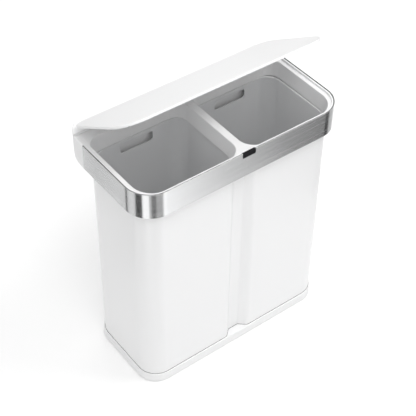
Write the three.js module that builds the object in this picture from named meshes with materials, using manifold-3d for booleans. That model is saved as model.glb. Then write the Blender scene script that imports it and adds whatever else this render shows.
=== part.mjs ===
// A free-standing double recycling bin with a motor-driven lid, modelled at its real size.
// Millimetres, +Z up, front of the bin towards -Y. The origin is on the floor under the middle of the bin.
// The lid is shown part open, as it stands while the motor drives it.
import * as THREE from 'three';
import { mergeVertices } from 'three/addons/utils/BufferGeometryUtils.js';
import Module from 'manifold-3d';

const wasm = await Module();
wasm.setup();

// ---------------------------------------------------------------- driving dimensions
const gap = 0.3;                  // running or seating gap between neighbouring pieces
const cut = 1;                    // how far a cutting tool runs past the face that it cuts

// whole bin
const overallWidth = 566;         // over the steel band
const overallDepth = 325;         // front of the band to the back of the rear housing
const bandTop = 642.5;            // floor to the upper edge of the band

// steel band
const bandHeight = 67.5;
const bandSheet = 1;
const bandCorner = 65;            // outside radius of its two front corners
const bandStop = 26.1;            // its two rear ends, in front of the body's back

// body shell
const bodySetback = 15.3;         // body inside the band, at the front and the sides
const rearDepth = 69.5;           // body's back to the back of the rear housing
const bodyCorner = 50.9;
const bodySheet = 1;
const shellRise = 29;             // its upper edge above the band's lower edge
const channelMouth = 66;          // width of the front channel where its walls meet the front
const channelFloor = 30;          // width of its flat back wall
const channelDepth = 17;
const channelLip = 18;            // radius where a wall rolls into the front
const channelRoot = 6;            // radius where a wall rolls into the back wall

// base tray and feet
const baseHeight = 27.5;
const basePlate = 3;
const baseWall = 3;
const baseOverhang = 3.8;
const baseEdge = 2.5;             // bevel round the upper edge
const baseLift = 1.5;             // underside of the tray above the floor
const ringHeight = 3;             // locating ring inside the shell
const ringWall = 2;
const ribWall = 2;
const crossRibs = 5;
const longRibs = 2;
const footRadius = 12;
const footThickness = 5.2;
const footBoss = 16;
const footInsetX = 60;            // foot centre from the side of the body
const footInsetY = 45;            // foot centre from the front or back of the body

// top frame
const rimDrop = 6.2;              // upper face of the frame below the band's edge
const rimPlate = 3;
const skirtWall = 2.5;
const mouthSide = 17.5;           // band outside to the outer edge of an opening
const mouthFront = 10;            // band outside to the front edge of an opening
const mouthRear = 9;              // rear edge of an opening, in front of the body's back
const dividerWidth = 19;
const mouthOuterCorner = 55;
const mouthInnerCorner = 40;
const mouthRearCorner = 32;
const funnelDepth = 41;           // inner skirts, from the upper face down
const funnelWall = 2.2;
const funnelDraftSide = 3.5;
const funnelDraftFront = 13;
const funnelDraftRear = 5;
const ledgeHeight = 2.5;
const ledgeReach = 3.2;           // ledge inside the shell's outer face
const flangeHeight = 2.5;
const webThickness = 3;           // upright wall behind the body shell
const webInset = 27.7;            // its ends inside the body's sides
const webLift = 5;                // its lower edge above the band's lower edge
const apronReach = 17;            // rear edge of the frame behind the body's back

// inner buckets
const bucketDrop = 1.5;           // bucket rim below the frame's inner skirts
const bucketWall = 2.2;
const bucketFloor = 3;
const bucketRim = 3;              // height and reach of the rim
const bucketDraft = 3;
const bucketSide = 5;             // rim to the body's side
const bucketFront = 5.2;          // rim to the body's front
const bucketRear = 9;             // rim to the body's back
const bucketMiddle = 6;           // rim to the middle plane
const bucketOuterCorner = 42;
const bucketInnerCorner = 42;
const gripWidth = 90;
const gripHeight = 25;
const gripDrop = 11;              // grip opening below the rim

// rear housing
const housingCorner = 74;
const housingWall = 3;
const undersideLead = 12.9;       // its curved underside starts this far in front of the band's ends
const undersideRise = 58;         // how far the underside has risen at the back
const housingHeight = 71;         // lowest line of the underside below the band's upper edge
const housingLip = 2.5;
const armSlotWidth = 17;
const armSlotRear = 3;            // rear end of an arm slot, in front of the hinge axis
const bossInset = 50;             // screw boss from the middle of a hinge arm, towards the middle
const bossReach = 8;              // screw boss behind the web
const bossRadius = 5;
const bossRib = 4;
const bossLow = 55.5;             // lower and upper end of a boss below the band's upper edge
const bossHigh = 40.5;

// lid
const restOpening = THREE.MathUtils.degToRad(32.4);
const lidInset = 7.4;             // lid edge inside the band's outside
const lidStop = 5.3;              // rear edge of the closed lid in front of the frame's rear edge
const lidThickness = 5.3;
const lidTopStand = 0.3;          // closed lid above the band's edge
const lidSkin = 2.8;
const lidEdge = 2.5;
const lidRearCorner = 39;
const lidTopBevel = 1.2;
const lidLowBevel = 0.8;
const bumperRadius = 2.5;
const bumperHeight = 0.7;
const bumperSide = 22;            // bumper centre from the lid's side and front
const bumperFront = 19;

// hinge
const hingeReach = 45;            // hinge axis behind the body's back
const hingeDrop = 28.5;           // hinge axis below the band's edge
const armInset = 77.7;            // middle of a hinge arm inside the body's side
const armWidth = 14;
const armBoss = 9;
const armLeg = 9;                 // height of its leg between the riser and the hinge
const armRiser = 6.5;             // thickness of its riser behind the lid
const riserClear = 3.1;           // riser of the closed lid to the bracket, clear of its screws
const armFillet = 3;
const armFootLength = 46;
const armFootThickness = 3;
const pinRadius = 3;
const pinHead = 5;
const pinHeadThickness = 2;
const pinEnd = 1;                 // pin past its last cheek
const cheekThickness = 3;
const cheekBoss = 8;
const cheekNeck = 4;              // end of a cheek's taper in front of the hinge axis
const cheekHeight = 26;
const bracketPlate = 3;
const bracketLow = 10;            // base plate past the cheeks, below and above
const bracketHigh = 2;
const sideGap = 0.5;              // arm to bracket cheek

// screws
const screwRadius = 1.9;
const screwHole = 2.2;
const screwHeadRadius = 3.6;
const screwHeadHeight = 2.4;
const screwSeat = 3;              // material between a housing screw's head and the joint face
const armScrewFront = 10.1;       // arm screws, from the front end of the arm's foot
const armScrewRear = 30.4;
const bracketScrewLow = 18;       // bracket screws below and above the hinge axis
const bracketScrewHigh = 10;

// gears, two stages between the motor and the lid
const pressureAngle = THREE.MathUtils.degToRad(20);
const profileShift = 0.42;
const pinionTip = 1.25;           // addendum of the small gears, in modules
const toothBacklash = 0.22;
const driveModule = 1.25;
const motorModule = 1;
const smallTeeth = 10;
const largeTeeth = 28;
const gearWidth = 6;
const wheelWidth = 5;
const wheelRoom = 1.2;            // outer cheek to the idler's wheel
const plateRoom = 2.5;            // the idler's wheel to the gear plate
const meshAngle = THREE.MathUtils.degToRad(175);    // hinge axis to idler axis, from +Y towards +Z
const motorAngle = THREE.MathUtils.degToRad(255);   // idler axis to motor axis
const sectorBefore = THREE.MathUtils.degToRad(45);  // toothed arc on either side of the mesh
const sectorAfter = THREE.MathUtils.degToRad(50);
const idlerShaft = 2.5;
const motorShaft = 1.5;
const shaftRun = 0.1;             // radial play of a shaft in its bore
const plateMargin = 8;            // gear plate past the idler axis
const plateNose = 14;             // gear plate past the motor axis, at its lower corner
const motorRadius = 12;
const motorLength = 38;
const motorWall = 3.1;            // can with its magnets
const motorCap = 3;
const motorBearing = 5;
const bearingLength = 3;
const armatureGap = 0.4;
const armatureEnd = 4;            // armature to the inside of a cap

// batteries
const cellRadius = 13;
const cellLength = 49;
const cellPitch = 50;
const cellsPerRow = 3;
const cellNub = 3.2;
const cellNubLength = 2;
const cellDrop = 41.5;            // first row below the band's edge
const rowStep = 26.5;             // second row behind and above the first
const rowRise = 14;
const trayWall = 2;
const trayFront = 1.5;            // tray wall between the first row and the web
const trayGap = 0.4;
const doorMargin = 10.6;          // door opening past the tray on each side
const doorLead = 4.7;             // front edge of the door opening behind the web
const doorTop = 17.5;             // top edge of the door opening below the band's edge
const doorGap = 0.4;

// controls in the rear pocket
const pocketInset = 131.7;        // middle of the pocket from the housing's left side
const pocketWidth = 50;
const pocketWall = 2.5;
const pocketDepth = 25;           // pocket panel from the back of the bin
const pocketTop = 10;             // below the band's edge
const pocketHeight = 32.5;
const switchOffset = -7;
const switchWidth = 22;
const switchHeight = 16;
const switchBody = 15;
const switchFlange = 2;
const rockerWidth = 11.6;
const rockerHeight = 8;
const rockerRoom = 8;             // depth of the rocker's well
const rockerTilt = THREE.MathUtils.degToRad(7);
const inletOffset = 13;
const inletRadius = 5.5;
const inletFlange = 1.5;
const inletStep = 1;              // flange past the inlet's body
const inletLength = 12;
const inletBore = 2.8;
const inletDepth = 9;
const inletPin = 0.9;

// control board
const boardOffset = 8;            // middle of the board from the middle of the pocket
const boardWidth = 60;
const boardHeight = 28;
const boardTop = 10;              // below the band's edge
const boardThickness = 1.6;
const boardStand = 3.7;           // posts of the frame that carry it
const postRadius = 2.5;
const postInset = 5;

// sensor
const windowWidth = 36;
const windowHeight = 13.5;
const windowDepth = 4.5;
const sensorWidth = 34;
const sensorDrop = 20;            // height of its board
const lensRadius = 2;
const lensPitch = 10;
const lensStand = 1.2;            // board behind the window, past the seating gap

// ---------------------------------------------------------------- places worked out from them
const front = -overallDepth / 2;
const back = overallDepth / 2;
const halfBand = overallWidth / 2;
const bandBottom = bandTop - bandHeight;
const bodyFront = front + bodySetback;
const bodyBack = back - rearDepth;
const halfBody = halfBand - bodySetback;
const bandEnd = bodyBack - bandStop;
const shellTop = bandBottom + shellRise;
const frameInset = bandSheet + gap;
const rimTop = bandTop - rimDrop;
const rimUnder = rimTop - rimPlate;
const funnelBottom = rimTop - funnelDepth;
const mouthBack = bodyBack - mouthRear;
const halfWeb = halfBody - webInset;
const webFront = bodyBack + gap;
const webBack = webFront + webThickness;
const bracketFront = webBack + gap;
const bracketFace = bracketFront + bracketPlate;
const frameBack = bodyBack + apronReach;
const housingLow = bandTop - housingHeight;
const housingFront = bandEnd + gap;
const topFront = frameBack + gap;
const halfHousing = halfBand - bandSheet - gap;
const hingeY = bodyBack + hingeReach;
const hingeZ = bandTop - hingeDrop;
const lidTop = bandTop + lidTopStand;
const lidUnder = lidTop - lidThickness;
const lidFront = front + lidInset;
const lidBack = frameBack - lidStop;
const halfLid = halfBand - lidInset;
const armX = halfBody - armInset;
const slotFront = mouthBack - cut;
const slotBack = hingeY - armSlotRear;
const halfTray = (cellsPerRow * cellPitch) / 2 + trayGap;
const pocketX = pocketInset - halfHousing;
const pocketPanel = back - pocketDepth;
const pocketFloorZ = bandTop - pocketTop - pocketHeight;
const controlZ = bandTop - pocketTop - pocketHeight / 2;
const boardX = pocketX + boardOffset;
const boardZ = bandTop - boardTop - boardHeight / 2;

// ---------------------------------------------------------------- materials
function finish(color, roughness, metalness) {
  return new THREE.MeshStandardMaterial({ color, roughness, metalness });
}
const whitePlastic = finish(0xf4f4f4, 0.45, 0);
const whitePaint = finish(0xf1f1f2, 0.35, 0.05);
const brushedSteel = finish(0xb9bbbd, 0.32, 1);
const greyPlastic = finish(0x9a9b9c, 0.6, 0);
const blackGloss = finish(0x08080a, 0.08, 0);
const blackPlastic = finish(0x1c1c1e, 0.5, 0);
const rubber = finish(0x5c5d5f, 0.9, 0);
const zincSteel = finish(0xa9abad, 0.4, 1);
const gearPlastic = finish(0xe6e2d4, 0.5, 0);
const boardGreen = finish(0x1e5b3a, 0.5, 0);
const cellJacket = finish(0x3d4247, 0.4, 0.2);

// ---------------------------------------------------------------- solids
// a closed three.js geometry as a solid that can be joined and cut
function solid(geometry) {
  const bare = geometry.clone();
  for (const name of Object.keys(bare.attributes)) {
    if (name !== 'position') bare.deleteAttribute(name);
  }
  const merged = mergeVertices(bare, 1e-4);
  return new wasm.Manifold(new wasm.Mesh({
    numProp: 3,
    vertProperties: new Float32Array(merged.attributes.position.array),
    triVerts: new Uint32Array(merged.index.array),
  }));
}

function geometryOf(body) {
  const mesh = body.getMesh();
  const geometry = new THREE.BufferGeometry();
  geometry.setAttribute('position', new THREE.BufferAttribute(new Float32Array(mesh.vertProperties), 3));
  geometry.setIndex(new THREE.BufferAttribute(new Uint32Array(mesh.triVerts), 1));
  const faceted = geometry.toNonIndexed();
  faceted.computeVertexNormals();
  return faceted;
}

function piece(name, body, material) {
  const mesh = new THREE.Mesh(geometryOf(body), material);
  mesh.name = name;
  return mesh;
}

function box(x0, x1, y0, y1, z0, z1) {
  const geometry = new THREE.BoxGeometry(x1 - x0, y1 - y0, z1 - z0);
  return solid(geometry.translate((x0 + x1) / 2, (y0 + y1) / 2, (z0 + z1) / 2));
}

// a round bar along x, y or z; its middle line runs through (a, b) in the other two directions
function bar(axis, radius, from, to, a, b, sides = 24) {
  const geometry = new THREE.CylinderGeometry(radius, radius, to - from, sides);
  const middle = (from + to) / 2;
  if (axis === 'x') geometry.rotateZ(Math.PI / 2).translate(middle, a, b);
  if (axis === 'y') geometry.translate(a, middle, b);
  if (axis === 'z') geometry.rotateX(Math.PI / 2).translate(a, b, middle);
  return solid(geometry);
}

// upright prism over a plan outline
function prism(shape, z0, z1, curveSegments = 5) {
  const geometry = new THREE.ExtrudeGeometry(shape, { depth: z1 - z0, bevelEnabled: false, curveSegments });
  return solid(geometry.translate(0, 0, z0));
}

// prism along x over an outline drawn in y and z
const alongX = new THREE.Matrix4().makeBasis(
  new THREE.Vector3(0, 1, 0), new THREE.Vector3(0, 0, 1), new THREE.Vector3(1, 0, 0));
function sidePrism(shape, x0, x1, curveSegments = 5) {
  const geometry = new THREE.ExtrudeGeometry(shape, { depth: x1 - x0, bevelEnabled: false, curveSegments });
  return solid(geometry.applyMatrix4(alongX).translate(x0, 0, 0));
}

// solid between outlines with equal numbers of points, one above the other
function loft(rings) {
  const count = rings[0].points.length;
  const positions = [];
  for (const ring of rings) {
    for (const point of ring.points) positions.push(point.x, point.y, ring.z);
  }
  const index = [];
  for (let level = 0; level + 1 < rings.length; level += 1) {
    for (let i = 0; i < count; i += 1) {
      const next = (i + 1) % count;
      const low = level * count;
      const high = low + count;
      index.push(low + i, low + next, high + next, low + i, high + next, high + i);
    }
  }
  const top = (rings.length - 1) * count;
  for (const [a, b, c] of THREE.ShapeUtils.triangulateShape(rings[0].points, [])) {
    index.push(c, b, a);
  }
  for (const [a, b, c] of THREE.ShapeUtils.triangulateShape(rings[rings.length - 1].points, [])) {
    index.push(top + a, top + b, top + c);
  }
  const geometry = new THREE.BufferGeometry();
  geometry.setAttribute('position', new THREE.Float32BufferAttribute(positions, 3));
  geometry.setIndex(index);
  return solid(geometry);
}

// ---------------------------------------------------------------- outlines
// a closed outline through corners [x, y, radius], counter-clockwise, moved in by inset
function outline(corners, inset = 0) {
  const count = corners.length;
  const lines = corners.map(([x, y], i) => {
    const [x2, y2] = corners[(i + 1) % count];
    const length = Math.hypot(x2 - x, y2 - y);
    const along = [(x2 - x) / length, (y2 - y) / length];
    return { along, at: [x - along[1] * inset, y + along[0] * inset] };
  });
  const shape = new THREE.Shape();
  corners.forEach(([, , radius], i) => {
    const before = lines[(i + count - 1) % count];
    const after = lines[i];
    const turn = before.along[0] * after.along[1] - before.along[1] * after.along[0];
    const reach = ((after.at[0] - before.at[0]) * after.along[1]
      - (after.at[1] - before.at[1]) * after.along[0]) / turn;
    const x = before.at[0] + before.along[0] * reach;
    const y = before.at[1] + before.along[1] * reach;
    const convex = turn > 0;
    const r = Math.max(convex ? radius - inset : radius + inset, 0);
    const straight = before.along[0] * after.along[0] + before.along[1] * after.along[1];
    const angle = Math.abs(Math.atan2(turn, straight));
    const tangent = r * Math.tan(angle / 2);
    const startX = x - before.along[0] * tangent;
    const startY = y - before.along[1] * tangent;
    if (i === 0) shape.moveTo(startX, startY);
    else shape.lineTo(startX, startY);
    if (radius <= 0) return;
    const side = convex ? 1 : -1;
    const centreX = startX - before.along[1] * r * side;
    const centreY = startY + before.along[0] * r * side;
    const from = Math.atan2(startY - centreY, startX - centreX);
    shape.absarc(centreX, centreY, r, from, from + angle * side, !convex);
  });
  shape.closePath();
  return shape;
}

function rectangle(x0, x1, y0, y1, radii) {
  const [frontLeft, frontRight, backRight, backLeft] = radii;
  return [[x0, y0, frontLeft], [x1, y0, frontRight], [x1, y1, backRight], [x0, y1, backLeft]];
}

function mirrored(corners) {
  return corners.map(([x, y, radius]) => [-x, y, radius]).reverse();
}

const bandCorners = rectangle(-halfBand, halfBand, front, back + halfBand, [bandCorner, bandCorner, 0, 0]);
const plainBody = rectangle(-halfBody, halfBody, bodyFront, bodyBack,
  [bodyCorner, bodyCorner, bodyCorner, bodyCorner]);
const channelBack = bodyFront + channelDepth;
const channelled = [
  plainBody[0],
  [-channelMouth / 2, bodyFront, channelLip],
  [-channelFloor / 2, channelBack, channelRoot],
  [channelFloor / 2, channelBack, channelRoot],
  [channelMouth / 2, bodyFront, channelLip],
  plainBody[1],
  plainBody[2],
  plainBody[3],
];
const housingCorners = rectangle(-halfHousing, halfHousing, front - halfBand, back,
  [0, 0, housingCorner, housingCorner]);

// points along an outline, each place only once, so that outlines of one form match in a loft
function pointsOf(corners, inset, curveSegments = 5) {
  const { shape } = outline(corners, inset).extractPoints(curveSegments);
  return shape.filter((point, i) => point.distanceTo(shape[(i + 1) % shape.length]) > 1e-6);
}

// ---------------------------------------------------------------- base
function footCentres() {
  const x = halfBody - footInsetX;
  return [
    { name: 'front_left', x: -x, y: bodyFront + footInsetY },
    { name: 'front_right', x, y: bodyFront + footInsetY },
    { name: 'rear_left', x: -x, y: bodyBack - footInsetY },
    { name: 'rear_right', x, y: bodyBack - footInsetY },
  ];
}

// evenly spaced upright ribs across the span between two walls
function ribRow(across, from, to, count, top) {
  const pitch = (to - from) / (count + 1);
  let row = null;
  for (let i = 1; i <= count; i += 1) {
    const low = from + i * pitch - ribWall / 2;
    const high = low + ribWall;
    const rib = across === 'x'
      ? box(low, high, bodyFront - baseOverhang, bodyBack + baseOverhang, 0, top)
      : box(-halfBody - baseOverhang, halfBody + baseOverhang, low, high, 0, top);
    row = row ? row.add(rib) : rib;
  }
  return row;
}

function baseTray() {
  const plateUnder = baseHeight - basePlate;
  const footRecess = footThickness + gap;
  let tray = loft([
    { points: pointsOf(plainBody, -baseOverhang), z: baseLift },
    { points: pointsOf(plainBody, -baseOverhang), z: baseHeight - baseEdge },
    { points: pointsOf(plainBody, baseEdge - baseOverhang), z: baseHeight },
  ]);
  tray = tray.subtract(prism(outline(plainBody, baseWall - baseOverhang), baseLift - cut, plateUnder));
  const ribTop = plateUnder + cut;
  const ribs = prism(outline(plainBody, 0), baseLift + basePlate, ribTop);
  let grid = ribRow('x', -halfBody - baseOverhang, halfBody + baseOverhang, crossRibs, ribTop);
  grid = grid.add(ribRow('y', bodyFront - baseOverhang, bodyBack + baseOverhang, longRibs, ribTop));
  tray = tray.add(grid.intersect(ribs));
  for (const foot of footCentres()) {
    tray = tray.add(bar('z', footBoss, baseLift, plateUnder + cut, foot.x, foot.y));
  }
  for (const foot of footCentres()) {
    tray = tray.subtract(bar('z', footRadius + gap, 0, footRecess, foot.x, foot.y));
  }
  const ringInset = bodySheet + gap;
  const ringTop = baseHeight + ringHeight;
  const ring = prism(outline(channelled, ringInset), baseHeight - cut, ringTop)
    .subtract(prism(outline(channelled, ringInset + ringWall), baseHeight - 2 * cut, ringTop + cut));
  return tray.add(ring);
}

function bodyShell() {
  const bottom = baseHeight + gap;
  return prism(outline(channelled), bottom, shellTop)
    .subtract(prism(outline(channelled, bodySheet), bottom - cut, shellTop + cut));
}

// ---------------------------------------------------------------- band and top frame
function behind(y) {
  return box(-overallWidth, overallWidth, y, y + 2 * overallWidth, 0, 2 * bandTop);
}

function steelBand() {
  const notch = box(-windowWidth / 2 - gap, windowWidth / 2 + gap, front - cut, front + bandSheet + cut,
    bandTop - windowHeight - gap, bandTop + cut);
  return prism(outline(bandCorners), bandBottom, bandTop)
    .subtract(prism(outline(bandCorners, bandSheet), bandBottom - cut, bandTop + cut))
    .subtract(behind(bandEnd))
    .subtract(notch);
}

// corners of the right-hand opening at its upper edge, and of the lower end of its inner skirt
function mouthCorners(draft) {
  const innerX = dividerWidth / 2 + draft * (funnelDraftSide + 1);
  return rectangle(
    innerX, halfBand - mouthSide - draft * funnelDraftSide,
    front + mouthFront + draft * funnelDraftFront, mouthBack - draft * funnelDraftRear,
    [mouthInnerCorner, mouthOuterCorner - draft * (funnelDraftSide * 2), mouthRearCorner, mouthRearCorner]);
}

function funnel(corners, lower, inset, extra) {
  return loft([
    { points: pointsOf(lower, inset), z: funnelBottom - extra },
    { points: pointsOf(corners, inset), z: rimTop + extra },
  ]);
}

// cuts the slot in which a hinge arm moves, from `low` upwards
function armSlot(side, y0, y1, low) {
  const x = side * armX;
  return box(x - armSlotWidth / 2, x + armSlotWidth / 2, y0, y1, low, bandTop + cut);
}

function topFrame() {
  const rearInset = housingWall + gap;
  const frontPlan = outline(bandCorners, frameInset);
  const rearPlan = outline(housingCorners, rearInset);
  const plateFront = prism(frontPlan, rimUnder, rimTop).subtract(behind(bandEnd));
  const plateRear = prism(rearPlan, rimUnder, rimTop)
    .subtract(behind(frameBack))
    .intersect(behind(bandEnd - cut));
  const skirt = prism(frontPlan, bandBottom + gap, rimTop)
    .subtract(prism(outline(bandCorners, frameInset + skirtWall), bandBottom, rimTop + cut))
    .subtract(behind(bandEnd));
  const flange = prism(frontPlan, bandBottom + gap, bandBottom + gap + flangeHeight)
    .subtract(prism(outline(channelled, -gap), bandBottom - cut, bandTop))
    .subtract(behind(bandEnd));
  const ledgeLow = shellTop + gap;
  const ledge = prism(outline(bandCorners, frameInset + skirtWall / 2), ledgeLow, ledgeLow + ledgeHeight)
    .subtract(prism(outline(plainBody, ledgeReach), shellTop - cut, bandTop))
    .subtract(behind(bandEnd));
  const web = box(-halfWeb, halfWeb, webFront, webBack, bandBottom + webLift, rimUnder + cut / 2);
  let frame = plateFront.add(plateRear).add(skirt).add(flange).add(ledge).add(web);
  for (const side of [1, -1]) {
    const upper = side > 0 ? mouthCorners(0) : mirrored(mouthCorners(0));
    const lower = side > 0 ? mouthCorners(1) : mirrored(mouthCorners(1));
    const outside = funnel(upper, lower, -funnelWall, 0);
    frame = frame.add(outside);
  }
  for (const side of [1, -1]) {
    const upper = side > 0 ? mouthCorners(0) : mirrored(mouthCorners(0));
    const lower = side > 0 ? mouthCorners(1) : mirrored(mouthCorners(1));
    frame = frame.subtract(funnel(upper, lower, 0, 0.02));
    frame = frame.subtract(armSlot(side, slotFront, frameBack + cut, rimUnder - screwHeadHeight));
  }
  const windowHalf = windowWidth / 2 + gap;
  const windowNotch = box(-windowHalf, windowHalf, front, front + frameInset + skirtWall + cut,
    bandTop - windowHeight - gap, bandTop + cut);
  frame = frame.subtract(windowNotch);
  for (const post of boardPosts()) {
    frame = frame.add(bar('y', postRadius, webBack - cut / 2, webBack + boardStand, post.x, post.z, 12));
  }
  for (const boss of housingBosses()) {
    const ribLeft = boss.x - bossRib / 2;
    frame = frame.add(box(ribLeft, ribLeft + bossRib, webBack - cut / 2, boss.y, boss.low, boss.high));
    frame = frame.add(bar('z', bossRadius, boss.low, boss.high, boss.x, boss.y, 16));
    frame = frame.subtract(bar('z', screwHole, boss.low - cut, boss.high + cut, boss.x, boss.y, 12));
  }
  for (const screw of bracketScrews()) {
    frame = frame.subtract(bar('y', screwHole, webFront - cut, webBack + cut, screw.x, screw.z, 12));
  }
  return frame;
}

// ---------------------------------------------------------------- inner buckets
function bucket(side) {
  const rimTopZ = funnelBottom - bucketDrop;
  const floor = baseHeight + gap;
  const rimCorners = rectangle(
    bucketMiddle, halfBody - bucketSide, bodyFront + bucketFront, bodyBack - bucketRear,
    [bucketInnerCorner, bucketOuterCorner, bucketOuterCorner, bucketOuterCorner]);
  const corners = side > 0 ? rimCorners : mirrored(rimCorners);
  const low = bucketRim + bucketDraft;
  const outside = loft([
    { points: pointsOf(corners, low), z: floor },
    { points: pointsOf(corners, bucketRim), z: rimTopZ - bucketRim },
  ]);
  const rim = prism(outline(corners), rimTopZ - bucketRim, rimTopZ);
  const inside = loft([
    { points: pointsOf(corners, low + bucketWall), z: floor + bucketFloor },
    { points: pointsOf(corners, bucketRim + bucketWall), z: rimTopZ + cut },
  ]);
  const middle = side * (bucketMiddle + halfBody - bucketSide) / 2;
  const grip = box(middle - gripWidth / 2, middle + gripWidth / 2, bodyFront, bodyBack,
    rimTopZ - gripDrop - gripHeight, rimTopZ - gripDrop);
  return outside.add(rim).subtract(inside).subtract(grip);
}

// ---------------------------------------------------------------- rear housing
// side view of the housing, with its curved underside, moved in by inset
function sideProfile(inset) {
  const rearY = back - inset;
  const low = housingLow + inset;
  const start = bandEnd - undersideLead;
  const shape = new THREE.Shape();
  const curve = new THREE.EllipseCurve(start, low + undersideRise - inset,
    rearY - start, undersideRise - inset, -Math.PI / 2, 0, false, 0);
  shape.moveTo(front - overallDepth, low);
  for (const point of curve.getPoints(16)) shape.lineTo(point.x, point.y);
  shape.lineTo(rearY, bandTop - inset);
  shape.lineTo(front - overallDepth, bandTop - inset);
  shape.closePath();
  return shape;
}

function housingSolid(inset, frontY) {
  return prism(outline(housingCorners, inset), housingLow - cut, bandTop - inset, 6)
    .intersect(sidePrism(sideProfile(inset), -overallWidth, overallWidth))
    .intersect(behind(frontY));
}

function housingShell() {
  return housingSolid(0, housingFront).subtract(housingSolid(housingWall, housingFront - cut));
}

function doorOpening(margin) {
  const half = halfTray + trayWall + doorMargin - margin;
  return box(-half, half, webBack + doorLead + margin, back + cut,
    housingLow - cut, bandTop - doorTop - margin);
}

function rearHousing() {
  const outside = housingSolid(0, housingFront);
  let housing = housingShell();
  const pocketHalf = pocketWidth / 2;
  housing = housing.add(box(pocketX - pocketHalf, pocketX + pocketHalf, pocketPanel - pocketWall, back,
    pocketFloorZ, bandTop - pocketTop).intersect(outside));
  const lip = box(-halfHousing, halfHousing, topFront, topFront + housingLip, rimUnder, bandTop - cut);
  housing = housing.add(lip.intersect(housingSolid(housingWall - cut, housingFront)));
  for (const boss of housingBosses()) {
    const seat = bar('z', bossRadius + 1, housingLow, boss.low - gap, boss.x, boss.y, 20);
    housing = housing.add(seat.intersect(outside));
  }
  const roof = box(-halfHousing + housingWall, halfHousing - housingWall, housingFront - cut, topFront,
    rimUnder - cut, bandTop + cut);
  housing = housing.subtract(roof);
  housing = housing.subtract(prism(outline(plainBody, -gap), housingLow - cut, bandTop - cut));
  housing = housing.subtract(doorOpening(0));
  housing = housing.subtract(box(pocketX - pocketHalf + pocketWall, pocketX + pocketHalf - pocketWall,
    pocketPanel, back + cut, pocketFloorZ + pocketWall, bandTop - pocketTop - pocketWall));
  for (const side of [1, -1]) {
    housing = housing.subtract(armSlot(side, topFront - cut, slotBack, rimUnder - cut));
  }
  housing = housing.subtract(switchCut()).subtract(inletCut());
  const below = housingLow - cut;
  for (const boss of housingBosses()) {
    housing = housing.subtract(bar('z', screwHole, below, boss.low + cut, boss.x, boss.y, 12));
    housing = housing.subtract(bar('z', bossRadius - 1, below, boss.low - screwSeat, boss.x, boss.y, 20));
  }
  return housing;
}

function batteryDoor() {
  return housingShell().intersect(doorOpening(doorGap));
}

// ---------------------------------------------------------------- hinge and lid, drawn closed
const footEnd = lidBack - armFootLength;
const footTop = lidUnder - gap;
const footUnder = footTop - armFootThickness;

// side view of an arm: its foot under the lid, a riser behind the web and a level leg to the hinge
function armProfile() {
  const riserFront = bracketFace + riserClear;
  const riserBack = riserFront + armRiser;
  return outline([
    [footEnd, footUnder, 0],
    [riserFront, footUnder, armFillet],
    [riserFront, hingeZ - armLeg / 2, armFillet],
    [hingeY, hingeZ - armLeg / 2, 0],
    [hingeY, hingeZ + armLeg / 2, 0],
    [riserBack, hingeZ + armLeg / 2, armFillet],
    [riserBack, footTop, armFootThickness],
    [footEnd, footTop, 0],
  ]);
}

function hingeArm(side) {
  const low = side * armX - armWidth / 2;
  const high = low + armWidth;
  let arm = sidePrism(armProfile(), low, high)
    .add(bar('x', armBoss, low, high, hingeY, hingeZ))
    .subtract(bar('x', pinRadius + shaftRun, low - cut, high + cut, hingeY, hingeZ));
  for (const screw of armScrews(side)) {
    arm = arm.subtract(bar('z', screwHole, footUnder - cut, footTop + cut, screw.x, screw.y, 12));
  }
  return arm;
}

function lidCorners() {
  const frontCorner = bandCorner - lidInset;
  return rectangle(-halfLid, halfLid, lidFront, lidBack,
    [frontCorner, frontCorner, lidRearCorner, lidRearCorner]);
}

function lidPanel() {
  const skinUnder = lidTop - lidSkin;
  let panel = loft([
    { points: pointsOf(lidCorners(), lidLowBevel), z: lidUnder },
    { points: pointsOf(lidCorners(), 0), z: lidUnder + lidLowBevel },
    { points: pointsOf(lidCorners(), 0), z: lidTop - lidTopBevel },
    { points: pointsOf(lidCorners(), lidTopBevel), z: lidTop },
  ]);
  panel = panel.subtract(prism(outline(lidCorners(), lidEdge), lidUnder - cut, skinUnder));
  for (const side of [1, -1]) {
    for (const screw of armScrews(side)) {
      panel = panel.subtract(bar('z', screwHole, lidUnder - cut, screw.tip + gap, screw.x, screw.y, 12));
    }
  }
  return panel;
}

function lidLiner() {
  let liner = prism(outline(lidCorners(), lidEdge + gap), lidUnder, lidTop - lidSkin - gap);
  for (const side of [1, -1]) {
    for (const screw of armScrews(side)) {
      liner = liner.subtract(bar('z', screwHole, lidUnder - cut, lidTop, screw.x, screw.y, 12));
    }
  }
  return liner;
}

function lidBumper(side) {
  return bar('z', bumperRadius, lidUnder - gap - bumperHeight, lidUnder - gap,
    side * (halfLid - bumperSide), lidFront + bumperFront, 12);
}

// ---------------------------------------------------------------- fasteners
// a screw along z or y, its head's seat at `seat`, pointing to `tip`
function screw(axis, a, b, seat, tip) {
  const way = Math.sign(tip - seat);
  const headStart = seat - way * screwHeadHeight;
  const head = bar(axis, screwHeadRadius, Math.min(headStart, seat), Math.max(headStart, seat), a, b, 12);
  const shankStart = seat - way * screwHeadHeight / 2;
  return head.add(bar(axis, screwRadius, Math.min(shankStart, tip), Math.max(shankStart, tip), a, b, 12));
}

function armScrews(side) {
  const tip = lidTop - lidTopBevel - gap;
  return [armScrewFront, armScrewRear].map((reach) => ({ x: side * armX, y: footEnd + reach, tip }));
}

function bracketScrews() {
  const places = [];
  for (const side of [1, -1]) {
    for (const z of [hingeZ - bracketScrewLow, hingeZ + bracketScrewHigh]) {
      places.push({ side, x: side * armX, z });
    }
  }
  return places;
}

function housingBosses() {
  return [1, -1].map((side) => ({
    side,
    x: side * (armX - bossInset),
    y: webBack + bossReach,
    low: bandTop - bossLow,
    high: bandTop - bossHigh,
  }));
}

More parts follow.
